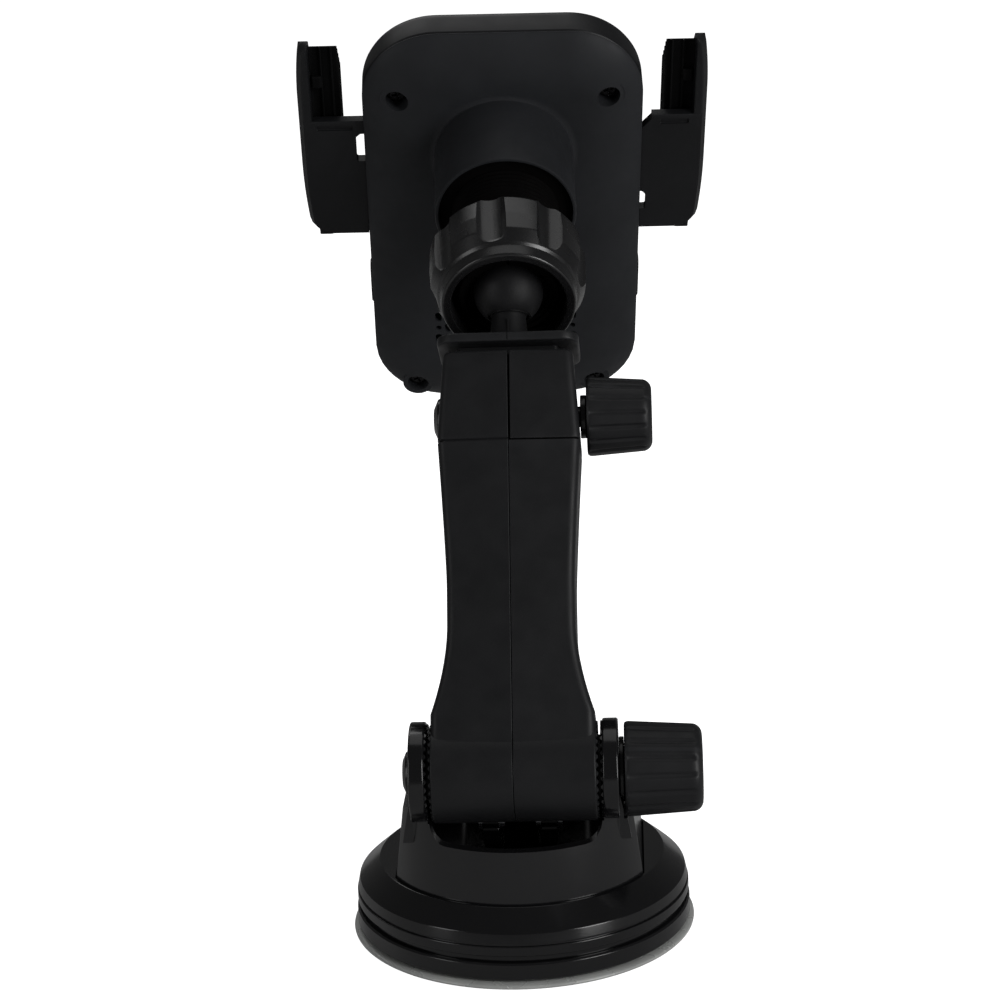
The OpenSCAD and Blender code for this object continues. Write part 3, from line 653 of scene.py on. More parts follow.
def lever():
    top = [(-6, 3), (-32, 3), (-38.5, 1.4), (-42.4, -2.2), (-45.6, -8.2), (-46, -10.6)]
    under = [(-43.8, -11), (-42.6, -8), (-40.3, -3.6), (-37.2, -1.4), (-32, -1), (-6, -1)]
    outline = fillet(top + under, [0.8, 3, 3, 3, 1.5, 0.9, 0.9, 1.5, 2, 2, 2, 0.8], 5)
    swing = shift(0, 0, CAM_Z) @ SIDE_VIEW
    tongue = raw("lever_tongue", slab(outline, -15, 15, 0.7), swing)
    lean = Matrix.Rotation(radians(-35), 4, "X")
    grips = []
    for i in range(3):
        at = shift(0, -39.6 - 1.5 * i, CAM_Z + 0.4 - 1.5 * i - 0.25 * i * i)
        grips.append(block("grip", (-9, -0.35, -1), (9, 0.35, 1), 0.3, 0.3, at @ lean))
    shape = []
    for turn in range(0, 360, 5):
        r = 6.55 - 2 * min(turn, 360 - turn, 90) / 60
        shape.append((r * sin(radians(turn)), -r * cos(radians(turn))))
    cams = []
    for x0 in (-9, 5):
        cams.append(raw("cam", slab(shape, x0, x0 + 4, 0.3), swing))
        cams.append(block("link", (x0 + 0.05, -8, CAM_Z - 0.95), (x0 + 3.95, 0, CAM_Z + 2.9), 0.3, 0.2))
    fuse(tongue, *cams)
    cut(tongue, rod("pin_hole", 1.55, -12, 12, shift(0, 0, CAM_Z) @ ALONG_X, 32))
    soften(tongue, 0.2, 45)
    merge(tongue, *grips)
    place(tongue, BASE, "lever", "gloss_black", "lever", smooth=32)


# ---- pivot hardware
def capped_bolt(name, dome, shaft):
    """A bolt along X with its head at +X, from half profiles of (radius, x)."""
    return raw(name, lathe(dome + shaft, 64), ALONG_X)


def pivot_bolt():
    head = EAR_OUT + 2
    dome = [(0, head), (3.2, head - 0.1), (5.0, head - 0.9), (5.4, EAR_OUT + 0.05), (3, EAR_OUT + 0.05)]
    dome = fillet(dome, [0, 2, 1.2, 0.1, 0], 5, closed=False)
    bolt = capped_bolt("pivot_bolt_cap", dome, [(3, -40.6), (2.4, -41.4), (0, -41.4)])
    cut(bolt, rod("recess", 1.9, head - 1.2, head + 2, ALONG_X, 6))
    place(bolt, PIVOT, "base", "bolt_black", "pivot_bolt", smooth=35)


def washer(name, axes, r, bore, x0, x1):
    profile = fillet([(bore, x0), (r, x0), (r, x1), (bore, x1)], 0.25, 3)
    ring = raw(name + "_ring", lathe(profile, 64, ring=True), ALONG_X)
    place(ring, axes, name, "bolt_black", name, smooth=50)


KNOB_GROOVES = 16
KNOB_SIDES = KNOB_GROOVES * 16
GROOVE_DEEP = 0.42
GROOVE_HALF = 0.17


def knob(name, axes, r, length, bore, depth):
    """Tapered knob with narrow lengthwise grooves and a softly rounded end."""
    profile = [(bore, depth), (bore, 0.3), (bore + 0.3, 0)]
    profile += [(r - 0.75, 0), (r - 0.3, 0.15), (r - 0.05, 0.6), (r, 1.2)]
    profile += [(r - 0.85 * i / 6, 1.2 + (length - 3.9) * i / 6) for i in range(1, 7)]
    profile += arc(r - 3.35, length - 2.5, 2.5, 12, 90, 7)
    profile += [(r * 0.45, length), (0, length)]
    loops = []
    for radius, z in profile:
        fade = min(1, max(0, (z - 0.7) / 0.8)) * min(1, max(0, (length - 1.3 - z) / 1.2))
        fade = fade if radius > bore + 1 else 0
        loop = []
        for k in range(KNOB_SIDES):
            turn = 2 * pi * (k + 0.5) / KNOB_SIDES
            phase = (k + 0.5) / KNOB_SIDES * KNOB_GROOVES % 1
            dip = max(0.0, 1 - ((phase - 0.5) / GROOVE_HALF) ** 2) ** 0.7
            rr = max(radius - GROOVE_DEEP * dip * fade, 1e-4)
            loop.append((rr * cos(turn), rr * sin(turn), z))
        loops.append(loop)
    shape = raw(name + "_grip", loft(loops), ALONG_MINUS_X)
    place(shape, axes, name, "textured_black", name, smooth=34)


def pivot_parts():
    pivot_bolt()
    washer("pivot_washer", PIVOT, 7.5, PIVOT_BORE, -25.3, -24.2)
    knob("pivot_knob", PIVOT @ shift(-25.4), 11, 18, 5, 8)


# ---- outer arm
BARREL_R = 11.7
BARREL_HALF = 19.0
ARM_HALF_DEPTH = 10.6
ARM_GAP = 0.06
PLATE_GAP = 0.42
COLLAR_S = 77.0
COLLAR_TOP = 99.9
CLAMP_BORE = 2.55
CLAMP_UP = shift(0, 0, CLAMP_S)


def half_width(s):
    """Half of the arm's width at height s: wide at the pivot, a waist, then wider to the collar."""
    if s < 33:
        return 15 + 4 * (max(0, 33 - s) / 21) ** 1.8
    if s < 43:
        return 15
    return 15 + 1.9 * (min(1, (s - 43) / 34)) ** 1.2


def half_section(s, w, seam, depth):
    """Half of the arm's cross-section at height s, from the seam at x = seam to x = w."""
    points = [(seam, -depth), (w, -depth + 0.3), (w, depth - 0.55), (seam, depth)]
    return at_height(fillet(points, [0.22, 2.2, 2.2, 0.22], 6), s)


def collar_loops(foot, foot_share, seam):
    """Sections of the collar: its foot, its tapering body and its rounded rim."""
    w, top, taper, rim_r = half_width(COLLAR_S), COLLAR_TOP, 1.3, 0.9
    body = [(COLLAR_S + 2 + (top - COLLAR_S - 3) * i / 5, w - taper * (i / 5)) for i in range(6)]
    rim = [(top - 1 + rim_r * sin(a), w - 1.35 - rim_r * (1 - cos(a))) for a in map(radians, (30, 60, 90))]
    loops = []
    for s, wide in [(COLLAR_S + up, w - back) for up, back in foot] + body + rim:
        share = foot_share if s < COLLAR_S + 1 else 0.25 if s < top - 1 else 0.6
        loops.append(half_section(s, wide, seam, ARM_HALF_DEPTH - (w - wide) * share))
    return loops


def arm_bores():
    """The channel the inner arm slides in and the clamp bolt's hole."""
    return (block("channel", (-12.3, -6.3, 20), (12.3, 6.3, 130), 0.8, 0),
            rod("clamp", CLAMP_BORE, -5, 40, CLAMP_UP @ ALONG_X))


def arm_half(name, side, node):
    """One moulded half with its half of the pivot barrel. The +X half carries the collar's half."""
    loops = []
    for s in [0.5, 4, 8, 10, 12] + [12 + (COLLAR_S - 12) * i / 26 for i in range(1, 27)]:
        w = half_width(max(s, 12)) if s > 8 else BARREL_HALF
        loops.append(half_section(s, w, ARM_GAP, ARM_HALF_DEPTH))
    if side > 0:
        loops += collar_loops([(0.1, 0.45), (0.4, 0.45), (0.75, 0)], 1.0, ARM_GAP)
    half = raw(name, loft(loops))
    hub = EAR_IN - 0.12
    outline = [(PIVOT_BORE, ARM_GAP), (BARREL_R, ARM_GAP), (BARREL_R, BARREL_HALF), (8.1, BARREL_HALF)]
    barrel_profile = fillet(outline + [(8.0, hub), (PIVOT_BORE, hub)], [0.1, 0.2, 0.5, 0, 0.1, 0.1], 4)
    barrel = raw("barrel", lathe(barrel_profile, 120, ring=True), ALONG_X)
    cut(half, raw("trim", slab([(-5, -30), (60, -30), (60, 30), (-5, 30)], -30, 0.3)))
    fuse(half, barrel)
    channel, clamp = arm_bores()
    cut(half, channel, rod("bolt", PIVOT_BORE, -5, 30, ALONG_X), clamp)
    merge(half, ring_teeth((1,), BARREL_HALF - 0.05, BARREL_HALF + 0.42, 11.2, 0.5))
    axes = ARM if side > 0 else ARM @ MIRROR_X
    place(half, axes, "arm", "textured_black", node, smooth=30)


def clamp_plate():
    loops = collar_loops([(0.45, 0.4), (0.6, 0.12), (0.9, 0)], 0.25, PLATE_GAP)
    plate = raw("clamp_plate_shell", loft(loops))
    cut(plate, *arm_bores())
    place(plate, ARM @ MIRROR_X, "arm", "textured_black", "clamp_plate", smooth=30)


def clamp_parts():
    dome = [(0, 18.4), (2.8, 18.2), (5.1, 17.2), (5.5, 16.3), (2.5, 16.3)]
    dome = fillet(dome, [0, 2, 1, 0.1, 0], 5, closed=False)
    bolt = capped_bolt("clamp_bolt_cap", dome, [(2.5, -31), (2, -32), (0, -32)])
    place(bolt, ARM @ CLAMP_UP, "arm", "bolt_black", "clamp_bolt", smooth=35)
    washer("clamp_washer", ARM @ CLAMP_UP, 5.2, CLAMP_BORE, -18.3, -16.9)
    knob("clamp_knob", ARM @ shift(-18.4, 0, CLAMP_S), 9.5, 15.6, 4.2, 7)


# ---- inner arm and ball
PLATE_S = 101.6
PLATE_TOP = 103.9
BALL_R = 8.5
BALL_CORE_R = 7.7


def inner_arm():
    bar = block("inner_bar", (-12, -6, 24), (12, 6, PLATE_S + 0.4), 1.0, 0.4)
    slot = block("slot", (-20, -2.8, CLAMP_S - 52.8), (20, 2.8, CLAMP_S + 2.8), 1.5, 0)
    plate = raw("plate", slab(round_rect(34, 22, 4.5, 8), PLATE_S, PLATE_TOP, 0.6))
    seams = [block("seam", (-0.12, 10.75, 100), (0.12, 12, 106), 0.02, 0),
             block("seam", (-0.12, 5.2, PLATE_TOP - 0.2), (0.12, 12, 106), 0.02, 0)]
    cut(bar, slot)
    fuse(bar, plate)
    cut(bar, *seams)
    place(bar, ARM, "inner_arm", "textured_black", "inner_arm", smooth=32)


def ball_stud():
    neck = [(0, 0), (5.9, 0), (5.3, 0.35), (4.95, 0.9), (4.55, 3), (4.25, 6)]
    neck = [(r, PLATE_TOP + up) for r, up in neck] + [(4.2, BALL_S - 6.9)]
    start = degrees(acos(6.46 / BALL_CORE_R))
    core = arc(0, BALL_S, BALL_CORE_R, -90 + start, 90, 24)
    stud = raw("ball_stud_core", lathe(neck + core, 96))
    ridge = block("ridge", (-0.15, 3.6, PLATE_TOP + 0.6), (0.15, 4.9, BALL_S - 8.6), 0.05, 0.05)
    fuse(stud, ridge)
    place(stud, ARM, "inner_arm", "ball_black", "ball_stud", smooth=40, slot="satin_black")


def ball_sleeve():
    outer = arc(0, 0, BALL_R, -53.1, 90, 40)
    inner = arc(0, 0, 7.75, 90, -48.9, 40)
    lip = fillet([outer[-1], outer[0], inner[-1]], 0.1, 2, closed=False)[1:-1]
    shell = raw("ball_skin", lathe(lip + outer[1:] + inner[:-1], 128, ring=True))
    place(shell, ARM @ shift(0, 0, BALL_S), "ball_sleeve", "ball_black", "ball_sleeve", smooth=50,
          slot="satin_black")


NUT_FRONT = 5.1
NUT_BACK = -14.2
NUT_R = 19.2
NECK_R = 13.4


def socket_collet():
    """Neck with thread ridges, then collet fingers that wrap the ball."""
    threads = []
    y = -30.3
    while y < -4.5:
        threads += [(NECK_R - 0.5, y), (NECK_R, y + 0.35), (NECK_R, y + 0.6), (NECK_R - 0.5, y + 0.95)]
        y += 1.5
    front = [(12.9, -3.6), (12.3, 0.6)] + arc(11.7, 0.9, 0.5, 10, 90, 4)
    steps = [(10.9, 1.4), (10.8, 0.8), (9.9, 0.7), (9.8, 0.1), (8.9, 0.0)]
    grip = [(p, -q) for p, q in arc(0, 0, BALL_R + 0.08, -2, 20, 6)]
    inside = [(9.45, -3.1), (9.45, -12.05), (6, -12.05), (6, -33.0)]
    base = [(16.7, -33.0), (16.7, -30.7)]
    body = raw("socket_neck", lathe(base + threads + front + steps + grip + inside, 120, ring=True), ALONG_Y)
    slots = []
    for angle in (0, 60, 120):
        turn = Matrix.Rotation(radians(angle), 4, "Y")
        slots.append(block("slot", (-0.4, -8, -20), (0.4, 10, 20), 0.2, 0, turn))
    cut(body, *slots)
    # The near-black inner_plastic finish is painted shade on the neck and collet down in the boss's mouth.
    place(body, HEAD, "head", "inner_plastic", "socket_collet", smooth=32)


def pressure_ring():
    profile = fillet([(13.5, -4), (14.8, -4), (14.8, -1.2), (13.5, -1.2)], 0.3, 3)
    ring = raw("pressure_ring_collar", lathe(profile, 96, ring=True), ALONG_Y)
    place(ring, HEAD, "pressure_ring", "inner_plastic", "pressure_ring", smooth=50)


def socket_nut():
    """Nut with eight lobes between scoops that run out at the smooth front ring."""
    outline = [
        (13.7, NUT_BACK), (18.2, NUT_BACK), (NUT_R - 0.1, NUT_BACK + 1.4), (NUT_R, NUT_BACK + 7),
        (NUT_R - 0.3, -2.0), (17.3, 1.3), (16.75, 2.0), (16.6, 2.8), (16.3, NUT_FRONT), (14.1, NUT_FRONT),
        (14.1, -0.9), (15, -1), (15, -4.4), (13.7, -4.5),
    ]
    outer = fillet(outline, [0.2, 1.2, 1.2, 4, 2.0, 0.8, 0.4, 0.6, 0.7, 0.4, 0, 0, 0.1, 0.1], 5)
    nut = raw("socket_nut_lobed", lathe(outer, 192, ring=True), ALONG_Y)
    bar = lathe([(0, -18), (4.6, -18), (4.6, -0.4), (4.3, 0.8), (3.2, 1.7), (0, 2.1)], 40)
    lean = Matrix.Rotation(radians(3), 4, "X")
    scoops = []
    for i in range(8):
        spin = Matrix.Rotation(radians(12 + 45 * i), 4, "Y")
        scoops.append(raw("scoop", bar, spin @ shift(0, 0, NUT_R + 2.0) @ lean.inverted() @ ALONG_Y))
    cut(nut, *scoops)
    soften(nut, 0.22, 25, 3)
    place(nut, HEAD, "socket_nut", "nut_black", "socket_nut", smooth=24, slot="gloss_black")


# ---- head
HEAD_W, HEAD_H, HEAD_R = 71.5, 123.5, 19.5
HEAD_UP = 34.5
HEAD_MID = HEAD_UP - HEAD_H / 2
HEAD_LOW = HEAD_UP - HEAD_H
SEAM = -55.0
CROWN = 5.9
BOSS_R = 17.8
BOSS_MOUTH = -25.5
BOSS_BLEND = 0.4
SKIN_IN = 15.4
SCREWS = [(-26.8, 17.2), (26.8, 17.2), (-24.5, -81.5), (24.5, -81.5)]
VENT_V = -59.3
HEAD_TURNS = [2 * pi * k / 240 for k in range(240)]


def edge_distance(x, v):
    """How far a point lies inside the head's outline."""
    dx = abs(x) - (HEAD_W / 2 - HEAD_R)
    dv = abs(v - HEAD_MID) - (HEAD_H / 2 - HEAD_R)
    return HEAD_R - (hypot(max(dx, 0), max(dv, 0)) + min(max(dx, dv), 0))


def crown_height(x, v, boss=True):
    """Height of the soft rear face above the seam, with the fillet up to the boss."""
    d = max(0.0, edge_distance(x, v))
    t = min(1, d / 16.0)
    h = CROWN * (1 - (1 - t) ** 2.1) ** 0.8
    ring = hypot(x, v) - BOSS_R
    if boss and ring < BOSS_BLEND:
        h += BOSS_BLEND - sqrt(max(0.0, BOSS_BLEND ** 2 - (BOSS_BLEND - max(ring, 0)) ** 2))
    return h


def head_ray(angle, margin):
    """Where a ray from the boss axis meets the head's outline, moved in by a margin."""
    c, s = cos(angle), sin(angle)
    low, high = 0.0, 130.0
    for _ in range(40):
        mid = (low + high) / 2
        if edge_distance(mid * c, mid * s) > margin:
            low = mid
        else:
            high = mid
    return low


def circle_loop(r, y):
    return [(r * cos(a), y, r * sin(a)) for a in HEAD_TURNS]


def edge_loop(margin, y):
    """The head's outline, moved in by a margin, at depth y."""
    reach = [(a, head_ray(a, margin)) for a in HEAD_TURNS]
    return [(far * cos(a), y, far * sin(a)) for a, far in reach]


def screw_posts(r, y0, y1, n):
    return [rod("post", r, y0, y1, shift(x, 0, v) @ ALONG_Y, n) for x, v in SCREWS]


def rear_cover():
    rise = 1 - 0.5 / CROWN
    # inside skin, from the mouth seat to the seam rim
    loops = [circle_loop(SKIN_IN, -33), circle_loop(SKIN_IN, -53.4)]
    for i in range(1, 9):
        t = i / 8
        loop = []
        for a in HEAD_TURNS:
            r = SKIN_IN + (head_ray(a, 2.0) - SKIN_IN) * t
            x, v = r * cos(a), r * sin(a)
            y = SEAM + max(0.0, crown_height(x, v, False) - 2.2) if t < 1 else SEAM + 0.3
            loop.append((x, min(y, SEAM + CROWN - 2), v))
        loops.append(loop)
    # rim at the seam, with a small chamfer that draws the parting line
    for margin, up in ((1.9, 0.02), (0.45, 0.02), (0.12, 0.22), (0.0, 0.5)):
        loops.append(edge_loop(margin, SEAM + up))
    # outside skin from the edge to the boss
    for i in range(1, 41):
        t = (i / 40) ** 1.7
        loop = []
        for a in HEAD_TURNS:
            far = head_ray(a, 0.0)
            r = far + (BOSS_R - far) * t
            x, v = r * cos(a), r * sin(a)
            loop.append((x, SEAM + 0.5 + crown_height(x, v) * rise, v))
        loops.append(loop)
    # the boss, its rounded mouth and the seat for the socket
    root = SEAM + 0.5 + crown_height(BOSS_R, 0) * rise
    loops.append(circle_loop(BOSS_R, root + 1.0))
    for back, down in ((0.05, 4), (0.05, 0.4), (0.2, 0.1), (0.5, 0)):
        loops.append(circle_loop(BOSS_R - back, BOSS_MOUTH - down))
    for r, y in ((16.95, BOSS_MOUTH - 0.05), (16.8, BOSS_MOUTH - 0.3), (16.8, -29.55), (SKIN_IN, -29.6)):
        loops.append(circle_loop(r, y))
    cover = raw("rear_cover_shell", loft(loops, closed_ring=True))
    fuse(cover, *screw_posts(4.2, -56.9, SEAM + 3.8, 40))
    well = [(1.25, -60), (1.25, -54.4), (2.9, -54.4), (2.9, -40)]
    wells = [raw("well", lathe(well, 40), shift(x, 0, v) @ ALONG_Y) for x, v in SCREWS]
    cut(cover, *wells, *vent_cutters())
    place(cover, SHELL, "head", "soft_touch", "rear_cover", smooth=30)


def vent_cutters():
    """Round and oblong vent holes in rows that fill a ring."""
    cutters = []
    for i in range(-7, 8):
        for j in range(-4, 5):
            x, v = i * 2.6, j * 3.9
            if not 12 < hypot(x, v) < 19.4:
                continue
            if (i + j) % 2 == 0:
                shape = round_rect(1.8, 3.1, 0.7, 3, x, VENT_V + v)
            else:
                shape = arc(x, VENT_V + v, 0.8, 0, 345, 15)
            cutters.append(raw("vent", slab(shape, 0, 16), shift(0, -58, 0) @ REAR_VIEW))
    return cutters


def front_bezel():
    outer = [(0.45, SEAM - 0.03), (0.15, SEAM - 0.25), (0.0, SEAM - 0.55), (0.0, SEAM - 3), (0.0, -61.2),
             (0.12, -62.2), (0.45, -63.1), (1.0, -63.8), (1.7, -64.2), (2.6, -64.4)]
    front = [(5.6, -64.4), (6.0, -64.1), (7.5, -64.1), (12, -64.1)]
    back = [(12, -62.6), (2.0, -62.6), (2.0, SEAM - 0.03)]
    loops = [edge_loop(margin, y) for margin, y in outer + front + back]
    bezel = raw("front_bezel_frame", loft(loops, closed_ring=True))
    middle = slab([(x, v) for x, y, v in edge_loop(11, 0)], 62.6, 64.1)
    fuse(bezel, raw("plate", middle, FRONT_VIEW))
    cut(bezel, block("jaw_slot", (-50, -58.9, -31.3), (50, -55.7, 6.8), 0.5, 0.5),
        block("buttons", (-40, -61.8, -57.1), (40, -56.2, -42.9), 1.0, 0.3),
        block("foot_slot", (-11, -59.7, HEAD_LOW - 5), (11, -55.6, HEAD_LOW + 10), 0.6, 0.3))
    fuse(bezel, *screw_posts(3, -63, -57.1, 32))
    place(bezel, SHELL, "head", "satin_black", "front_bezel", smooth=30)


def front_pad():
    """Rubber face with a soft edge and three grooves, one inside the other."""
    outline = round_rect(HEAD_W - 12.4, HEAD_H - 12.4, HEAD_R - 6.2, 12, 0, HEAD_MID)
    pad = raw("front_pad_skin", slab(outline, 64.15, 65, 0.35, 0.05), FRONT_VIEW)
    grooves = []
    for i in range(3):
        w, h, r = HEAD_W - 20 - 8 * i, HEAD_H - 24 - 8 * i, 12 - 3.4 * i
        groove = raw("groove", slab(round_rect(w, h, r, 10, 0, HEAD_MID), 64.75, 66), FRONT_VIEW)
        keep = round_rect(w - 1.6, h - 1.6, r - 0.8, 10, 0, HEAD_MID)
        grooves.append(cut(groove, raw("keep", slab(keep, 64.6, 66.2), FRONT_VIEW)))
    cut(pad, *grooves)
    place(pad, SHELL, "head", "rubber_black", "front_pad", smooth=30)


def cover_screws():
    profile = [(0, -52.95), (1.7, -53.0), (2.35, -53.5), (2.5, -54.35)]
    profile += [(1.15, -54.4), (1.15, -60.5), (0.3, -61.5), (0, -61.5)]
    parts = []
    for x, v in SCREWS:
        screw = raw("screw", lathe(profile, 32), shift(x, 0, v) @ ALONG_Y)
        cross = []
        for angle in (20, 110):
            turn = shift(x, 0, v) @ Matrix.Rotation(radians(angle), 4, "Y")
            cross.append(block("cross", (-1.4, -53.7, -0.3), (1.4, -50, 0.3), 0.1, 0, turn))
        parts.append(cut(screw, *cross))
    place(merge(*parts), SHELL, "head", "screw_black", "cover_screws", smooth=35)


# ---- jaws, buttons, foot
JAW_OUT = 52.4
JAW_IN = JAW_OUT - 3.5
JAW_LOW, JAW_TOP = -31.0, 30.0
PLATE_V = 6.5
JAW_FRONT = -76.0
GRIP = 41.6
JAW_FOOT_R = 4.6
PAD_BACK_X = 48.85
BUTTON_Y, BUTTON_V = -59, -50


def round_off(r, distance):
    """How much a corner of radius r takes away at a distance from its end."""
    return r - sqrt(max(0.0, r * r - max(0.0, r - distance) ** 2))


def handed(name, side):
    """The name and the axes of a piece that comes as a left and a right one."""
    if side > 0:
        return name + "_left", SHELL
    return name + "_right", SHELL @ MIRROR_X


def jaw_edge(v):
    """Outer face seen from behind: widest at the plate, drawing in towards both ends."""
    return JAW_OUT - 1.5 * max(0.0, (-8 - v) / 23) ** 2 - 1.1 * max(0.0, (v - 14) / 16) ** 2


def above_slope(top, x0, x1):
    """Everything above the sloping top of a jaw part, from full height behind to the low front lip."""
    line = [(-90, top + 9), (-90, top - 20.6), (-79, top - 20.6), (-74.5, top - 18.6), (-61, top - 1.6),
            (-58.4, top), (-50, top), (-50, top + 9)]
    outline = fillet(line, [0, 0, 2.5, 9, 4, 0, 0, 0], 6)
    return raw("slope", slab(outline, x0, x1), SIDE_VIEW)


def jaw_section(v):
    """Plan of the side wall at height v: back edge, outer face, curled lip, inner face."""
    low, high = v - JAW_LOW, JAW_TOP - v
    out = jaw_edge(v) - round_off(JAW_FOOT_R, low) - round_off(1.6, high)
    back, front = -56.05 - round_off(1.2, high), JAW_FRONT + round_off(5.5, low)
    skin = JAW_IN
    points = [
        (skin + 0.1, back), (out - 1.3, back), (out, back - 1.6), (out - 0.5, front + 6),
        (out - 1.7, front + 1.5), (out - 4.0, front), (skin - 4.2, front + 0.1), (skin - 5.0, front + 1.1),
        (skin - 4.1, front + 2.2), (skin - 0.9, front + 2.8), (skin, front + 4.8), (skin, back - 1.6),
    ]
    return at_height(fillet(points, [0.5, 0.9, 1.2, 3, 1.8, 1.8, 0.8, 0.8, 0.8, 1.6, 1.2, 0.6], 4), v)


def jaw_levels(low, high, count):
    """Heights from low to high, closer together near both ends."""
    return [low + (high - low) * (0.5 - 0.5 * cos(pi * i / count)) for i in range(count + 1)]


def jaw(side, rail_low, rail_top, rack_dir, phase):
    """Side wall, plate and rail with its rack, whose teeth point up or down along rack_dir."""
    name, axes = handed("jaw", side)
    shell = raw(name + "_shell", loft([jaw_section(v) for v in jaw_levels(JAW_LOW, JAW_TOP, 28)]))
    levels = [JAW_LOW + 0.02 + (PLATE_V - JAW_LOW - 0.02) * (i / 16) ** 1.6 for i in range(17)]
    side_line = [(jaw_edge(v) - 1.0 - round_off(JAW_FOOT_R, v - JAW_LOW), v) for v in levels]
    face = [(35.7, JAW_LOW)] + side_line + [(35.7, PLATE_V)]
    plate = raw("plate", slab(face, 56, 58.6, 0.35, 0.35), FRONT_VIEW)
    rail = fillet([(20, rail_low), (37, rail_low), (37, rail_top), (20, rail_top)], 0.5, 3)
    neck = raw("neck", slab(rail, 56.02, 58.58, 0.3, 0.3), FRONT_VIEW)
    rack_v = -17.5 if rack_dir > 0 else -6.5
    near = rack_v - rack_dir * 1.1
    far = near - rack_dir * 6
    bar = block("bar", (-12, -58.58, min(near, far)), (21, -56.02, max(near, far)), 0.4, 0.3)
    teeth = []
    for i in range(-3, 6):
        x = (i + phase) * pi
        root, tip = rack_v - rack_dir * 1.5, rack_v + rack_dir * 0.8
        points = [(x - 0.95, root), (x + 0.95, root), (x + 0.3, tip), (x - 0.3, tip)]
        points = points if rack_dir > 0 else points[::-1]
        teeth.append(raw("tooth", slab(points, 56.05, 58.55), FRONT_VIEW))
    fuse(shell, plate, neck, bar)
    groove = block("groove", (38.5 if side > 0 else 40.5, -56.5, 3.6), (47.9, -55, 5.2), 0.3, 0.2)
    if side > 0:
        window = [(34, -6.5), (38, -6.5), (38, 1.2), (36.8, 2.4), (34, 2.4)]
        window = fillet(window, [0, 0.6, 1.0, 0.8, 0], 4)
        corner = fillet([(34, -33), (35.9, -33), (35.9, -27.6), (34, -26.4)], [0, 0.3, 0.6, 0], 3)
    else:
        window = [(34, -24.5), (37.4, -24.5), (37.4, -19.8), (36.4, -18.6), (34, -18.6)]
        window = fillet(window, [0, 0.6, 0.8, 0.6, 0], 4)
        corner = [(34, 8), (34, 2.4), (35.9, 2.4), (38.3, 5.2), (38.3, 8)]
    cut(shell, groove, *[raw("notch", slab(outline, 50, 60), FRONT_VIEW) for outline in (window, corner)])
    cut(shell, above_slope(JAW_TOP, 40, 60))
    merge(shell, *teeth)
    place(shell, axes, name, "satin_black", name, smooth=30)


def jaw_pad(side):
    """Grip pad: upright ribs on a rubber block, two ridges and a clip behind."""
    name, axes = handed("jaw_pad", side)
    low, high = JAW_LOW + 3.2, JAW_TOP - 1.4
    y0, y1 = -71.2, -60.2
    face = []
    for i in range(25):
        face.append((GRIP + 0.4 * (0.5 - 0.5 * cos(pi * i / 3)), y0 + (y1 - y0) * i / 24))
    loops = []
    for v in jaw_levels(low, high, 20):
        end = round_off(1.2, v - low)
        outline = [(PAD_BACK_X, y0 - 0.4)] + [(x + end, y) for x, y in face]
        outline += [(GRIP + 2.0 + end, y1 + 0.5), (PAD_BACK_X, y1 + 0.5)]
        loops.append(at_height(outline, v))
    pad = raw(name + "_ribbed", loft(loops))
    ridges = [block("ridge", (x, y1 + 0.2, low + 1), (x + 0.55, y1 + 1.1, high - 1), 0.2, 0.2)
              for x in (42.9, 45.7)]
    clip = block("clip", (45.9, y1 + 0.2, 15.2), (48.6, y1 + 1.6, 18.8), 0.5, 0.4)
    fuse(pad, *ridges, clip)
    cut(pad, above_slope(JAW_TOP - 1.6, 38, 52))
    place(pad, axes, handed("jaw", side)[0], "rubber_black", name, smooth=34)


def button(side):
    """A side button with three sunk dots."""
    name, axes = handed("button", side)
    edge = HEAD_W / 2
    outline = round_rect(5, 13.6, 2.2, 6, BUTTON_Y, BUTTON_V)
    cap = raw(name + "_cap", slab(outline, edge - 3, edge + 0.5, 0.4, 0.2), SIDE_VIEW)
    dot = lathe([(0, edge + 0.42), (0.5, edge + 0.42), (0.5, edge + 1)], 20)
    cut(cap, *[raw("dot", dot, shift(0, BUTTON_Y, BUTTON_V + 2.2 * i) @ ALONG_X) for i in (-1, 0, 1)])
    place(cap, axes, name, "satin_black", name, smooth=34)


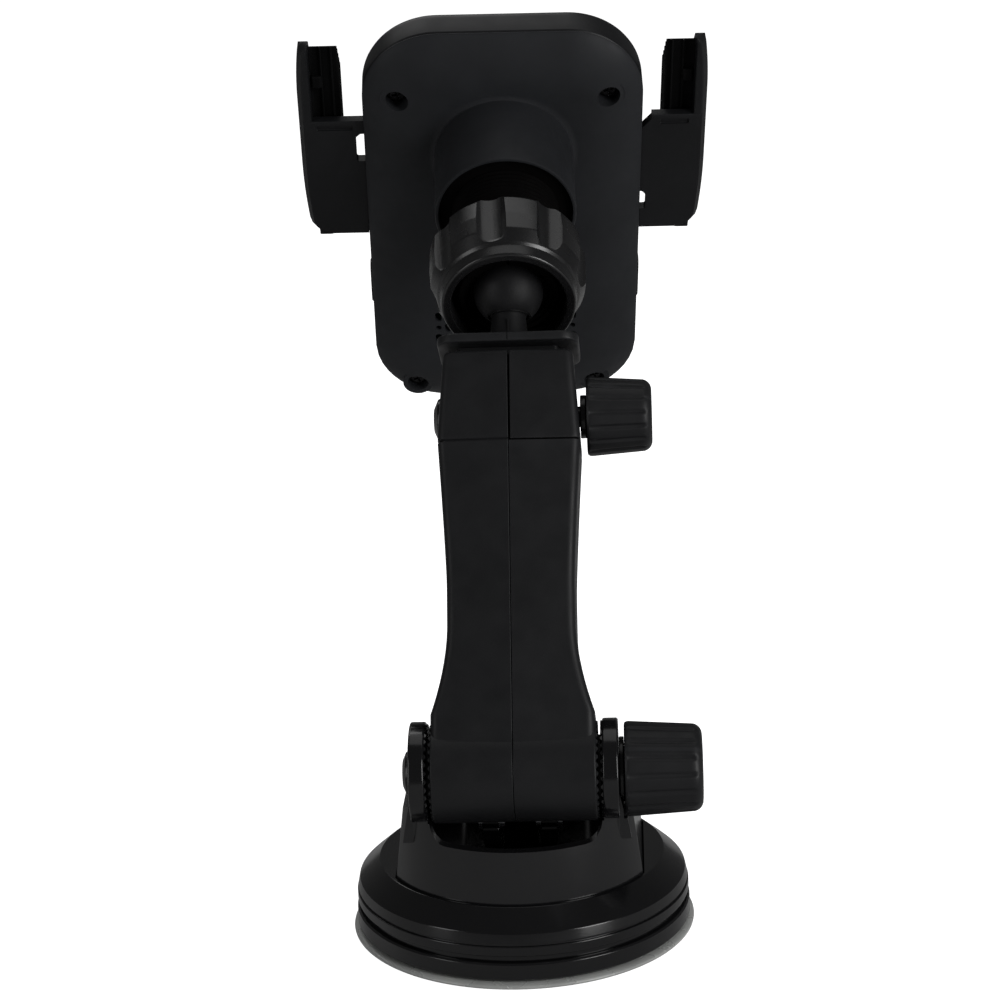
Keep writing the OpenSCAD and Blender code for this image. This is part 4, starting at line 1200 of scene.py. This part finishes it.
def foot():
    """Two hooked prongs on one bridge, each with a rubber pad under the phone."""
    low, apart = HEAD_LOW, 8.4
    parts = [block("bridge", (-10.6, -58.4, low + 18), (10.6, -56, low + 23), 0.6, 0.4)]
    hook = [(-56, low + 18.5), (-58.4, low + 18.5), (-58.4, low - 0.6), (-74.6, low - 0.6), (-74.9, low + 4),
            (-77, low + 4), (-77, low - 3), (-56, low - 3)]
    outline = fillet(hook, [0.4, 0.4, 0.6, 1.0, 0.9, 1.0, 2.4, 1.6], 5)
    pads = []
    for side in (-1, 1):
        x = side * apart
        parts.append(raw("prong", slab(outline, x - 2.2, x + 2.2, 0.5), SIDE_VIEW))
        pads.append(block("pad", (x - 1.8, -74.3, low - 0.55), (x + 1.8, -65.8, low + 0.2), 0.8, 0.25))
    place(fuse(*parts), SHELL, "foot", "satin_black", "foot", smooth=34)
    place(merge(*pads), SHELL, "foot", "rubber_black", "foot_pad", smooth=40)


def head_parts():
    rear_cover()
    front_bezel()
    front_pad()
    cover_screws()
    jaw(1, -26, -8, 1, 0)
    jaw(-1, -16, 1, -1, 0.5)
    for side in (-1, 1):
        jaw_pad(side)
        button(side)
    foot()


# ---- what stays as CAD
def inner_looks():
    """Hidden pieces keep their CAD shape and get a finish."""
    looks = {
        "zinc_steel": ("base_screws", "cam_pin", "arm_screws", "usb_socket", "gear_motor", "pinion_axle"),
        "inner_plastic": ("stem",),
        "spring_steel": ("stem_spring",),
        "brass": ("pivot_insert", "clamp_insert"),
        "nylon": ("ball_seat", "motor_gear", "pinion"),
        "copper": ("charging_coil",),
        "ferrite": ("ferrite_disc",),
        "board_green": ("circuit_board",),
    }
    for look, nodes in looks.items():
        for name in nodes:
            thing = frame["nodes"][name]
            thing.data.materials.clear()
            thing.data.materials.append(finish(look))


def floor():
    mesh = bpy.data.meshes.new("floor")
    size, low = 3.0, -0.0006
    corners = [(-size, -size, low), (size, -size, low), (size, size, low), (-size, size, low)]
    mesh.from_pydata(corners, [], [(0, 1, 2, 3)])
    plane = add("floor", mesh)
    mesh.materials.append(floor_paper())


camera()
studio()
floor()
suction_cup()
bottom_ring()
base_cover()
base_housing()
lever()
pivot_parts()
arm_half("arm_shell_left_half", 1, "arm_shell_left")
arm_half("arm_shell_right_half", -1, "arm_shell_right")
clamp_plate()
clamp_parts()
inner_arm()
ball_stud()
ball_sleeve()
socket_collet()
pressure_ring()
socket_nut()
head_parts()
inner_looks()
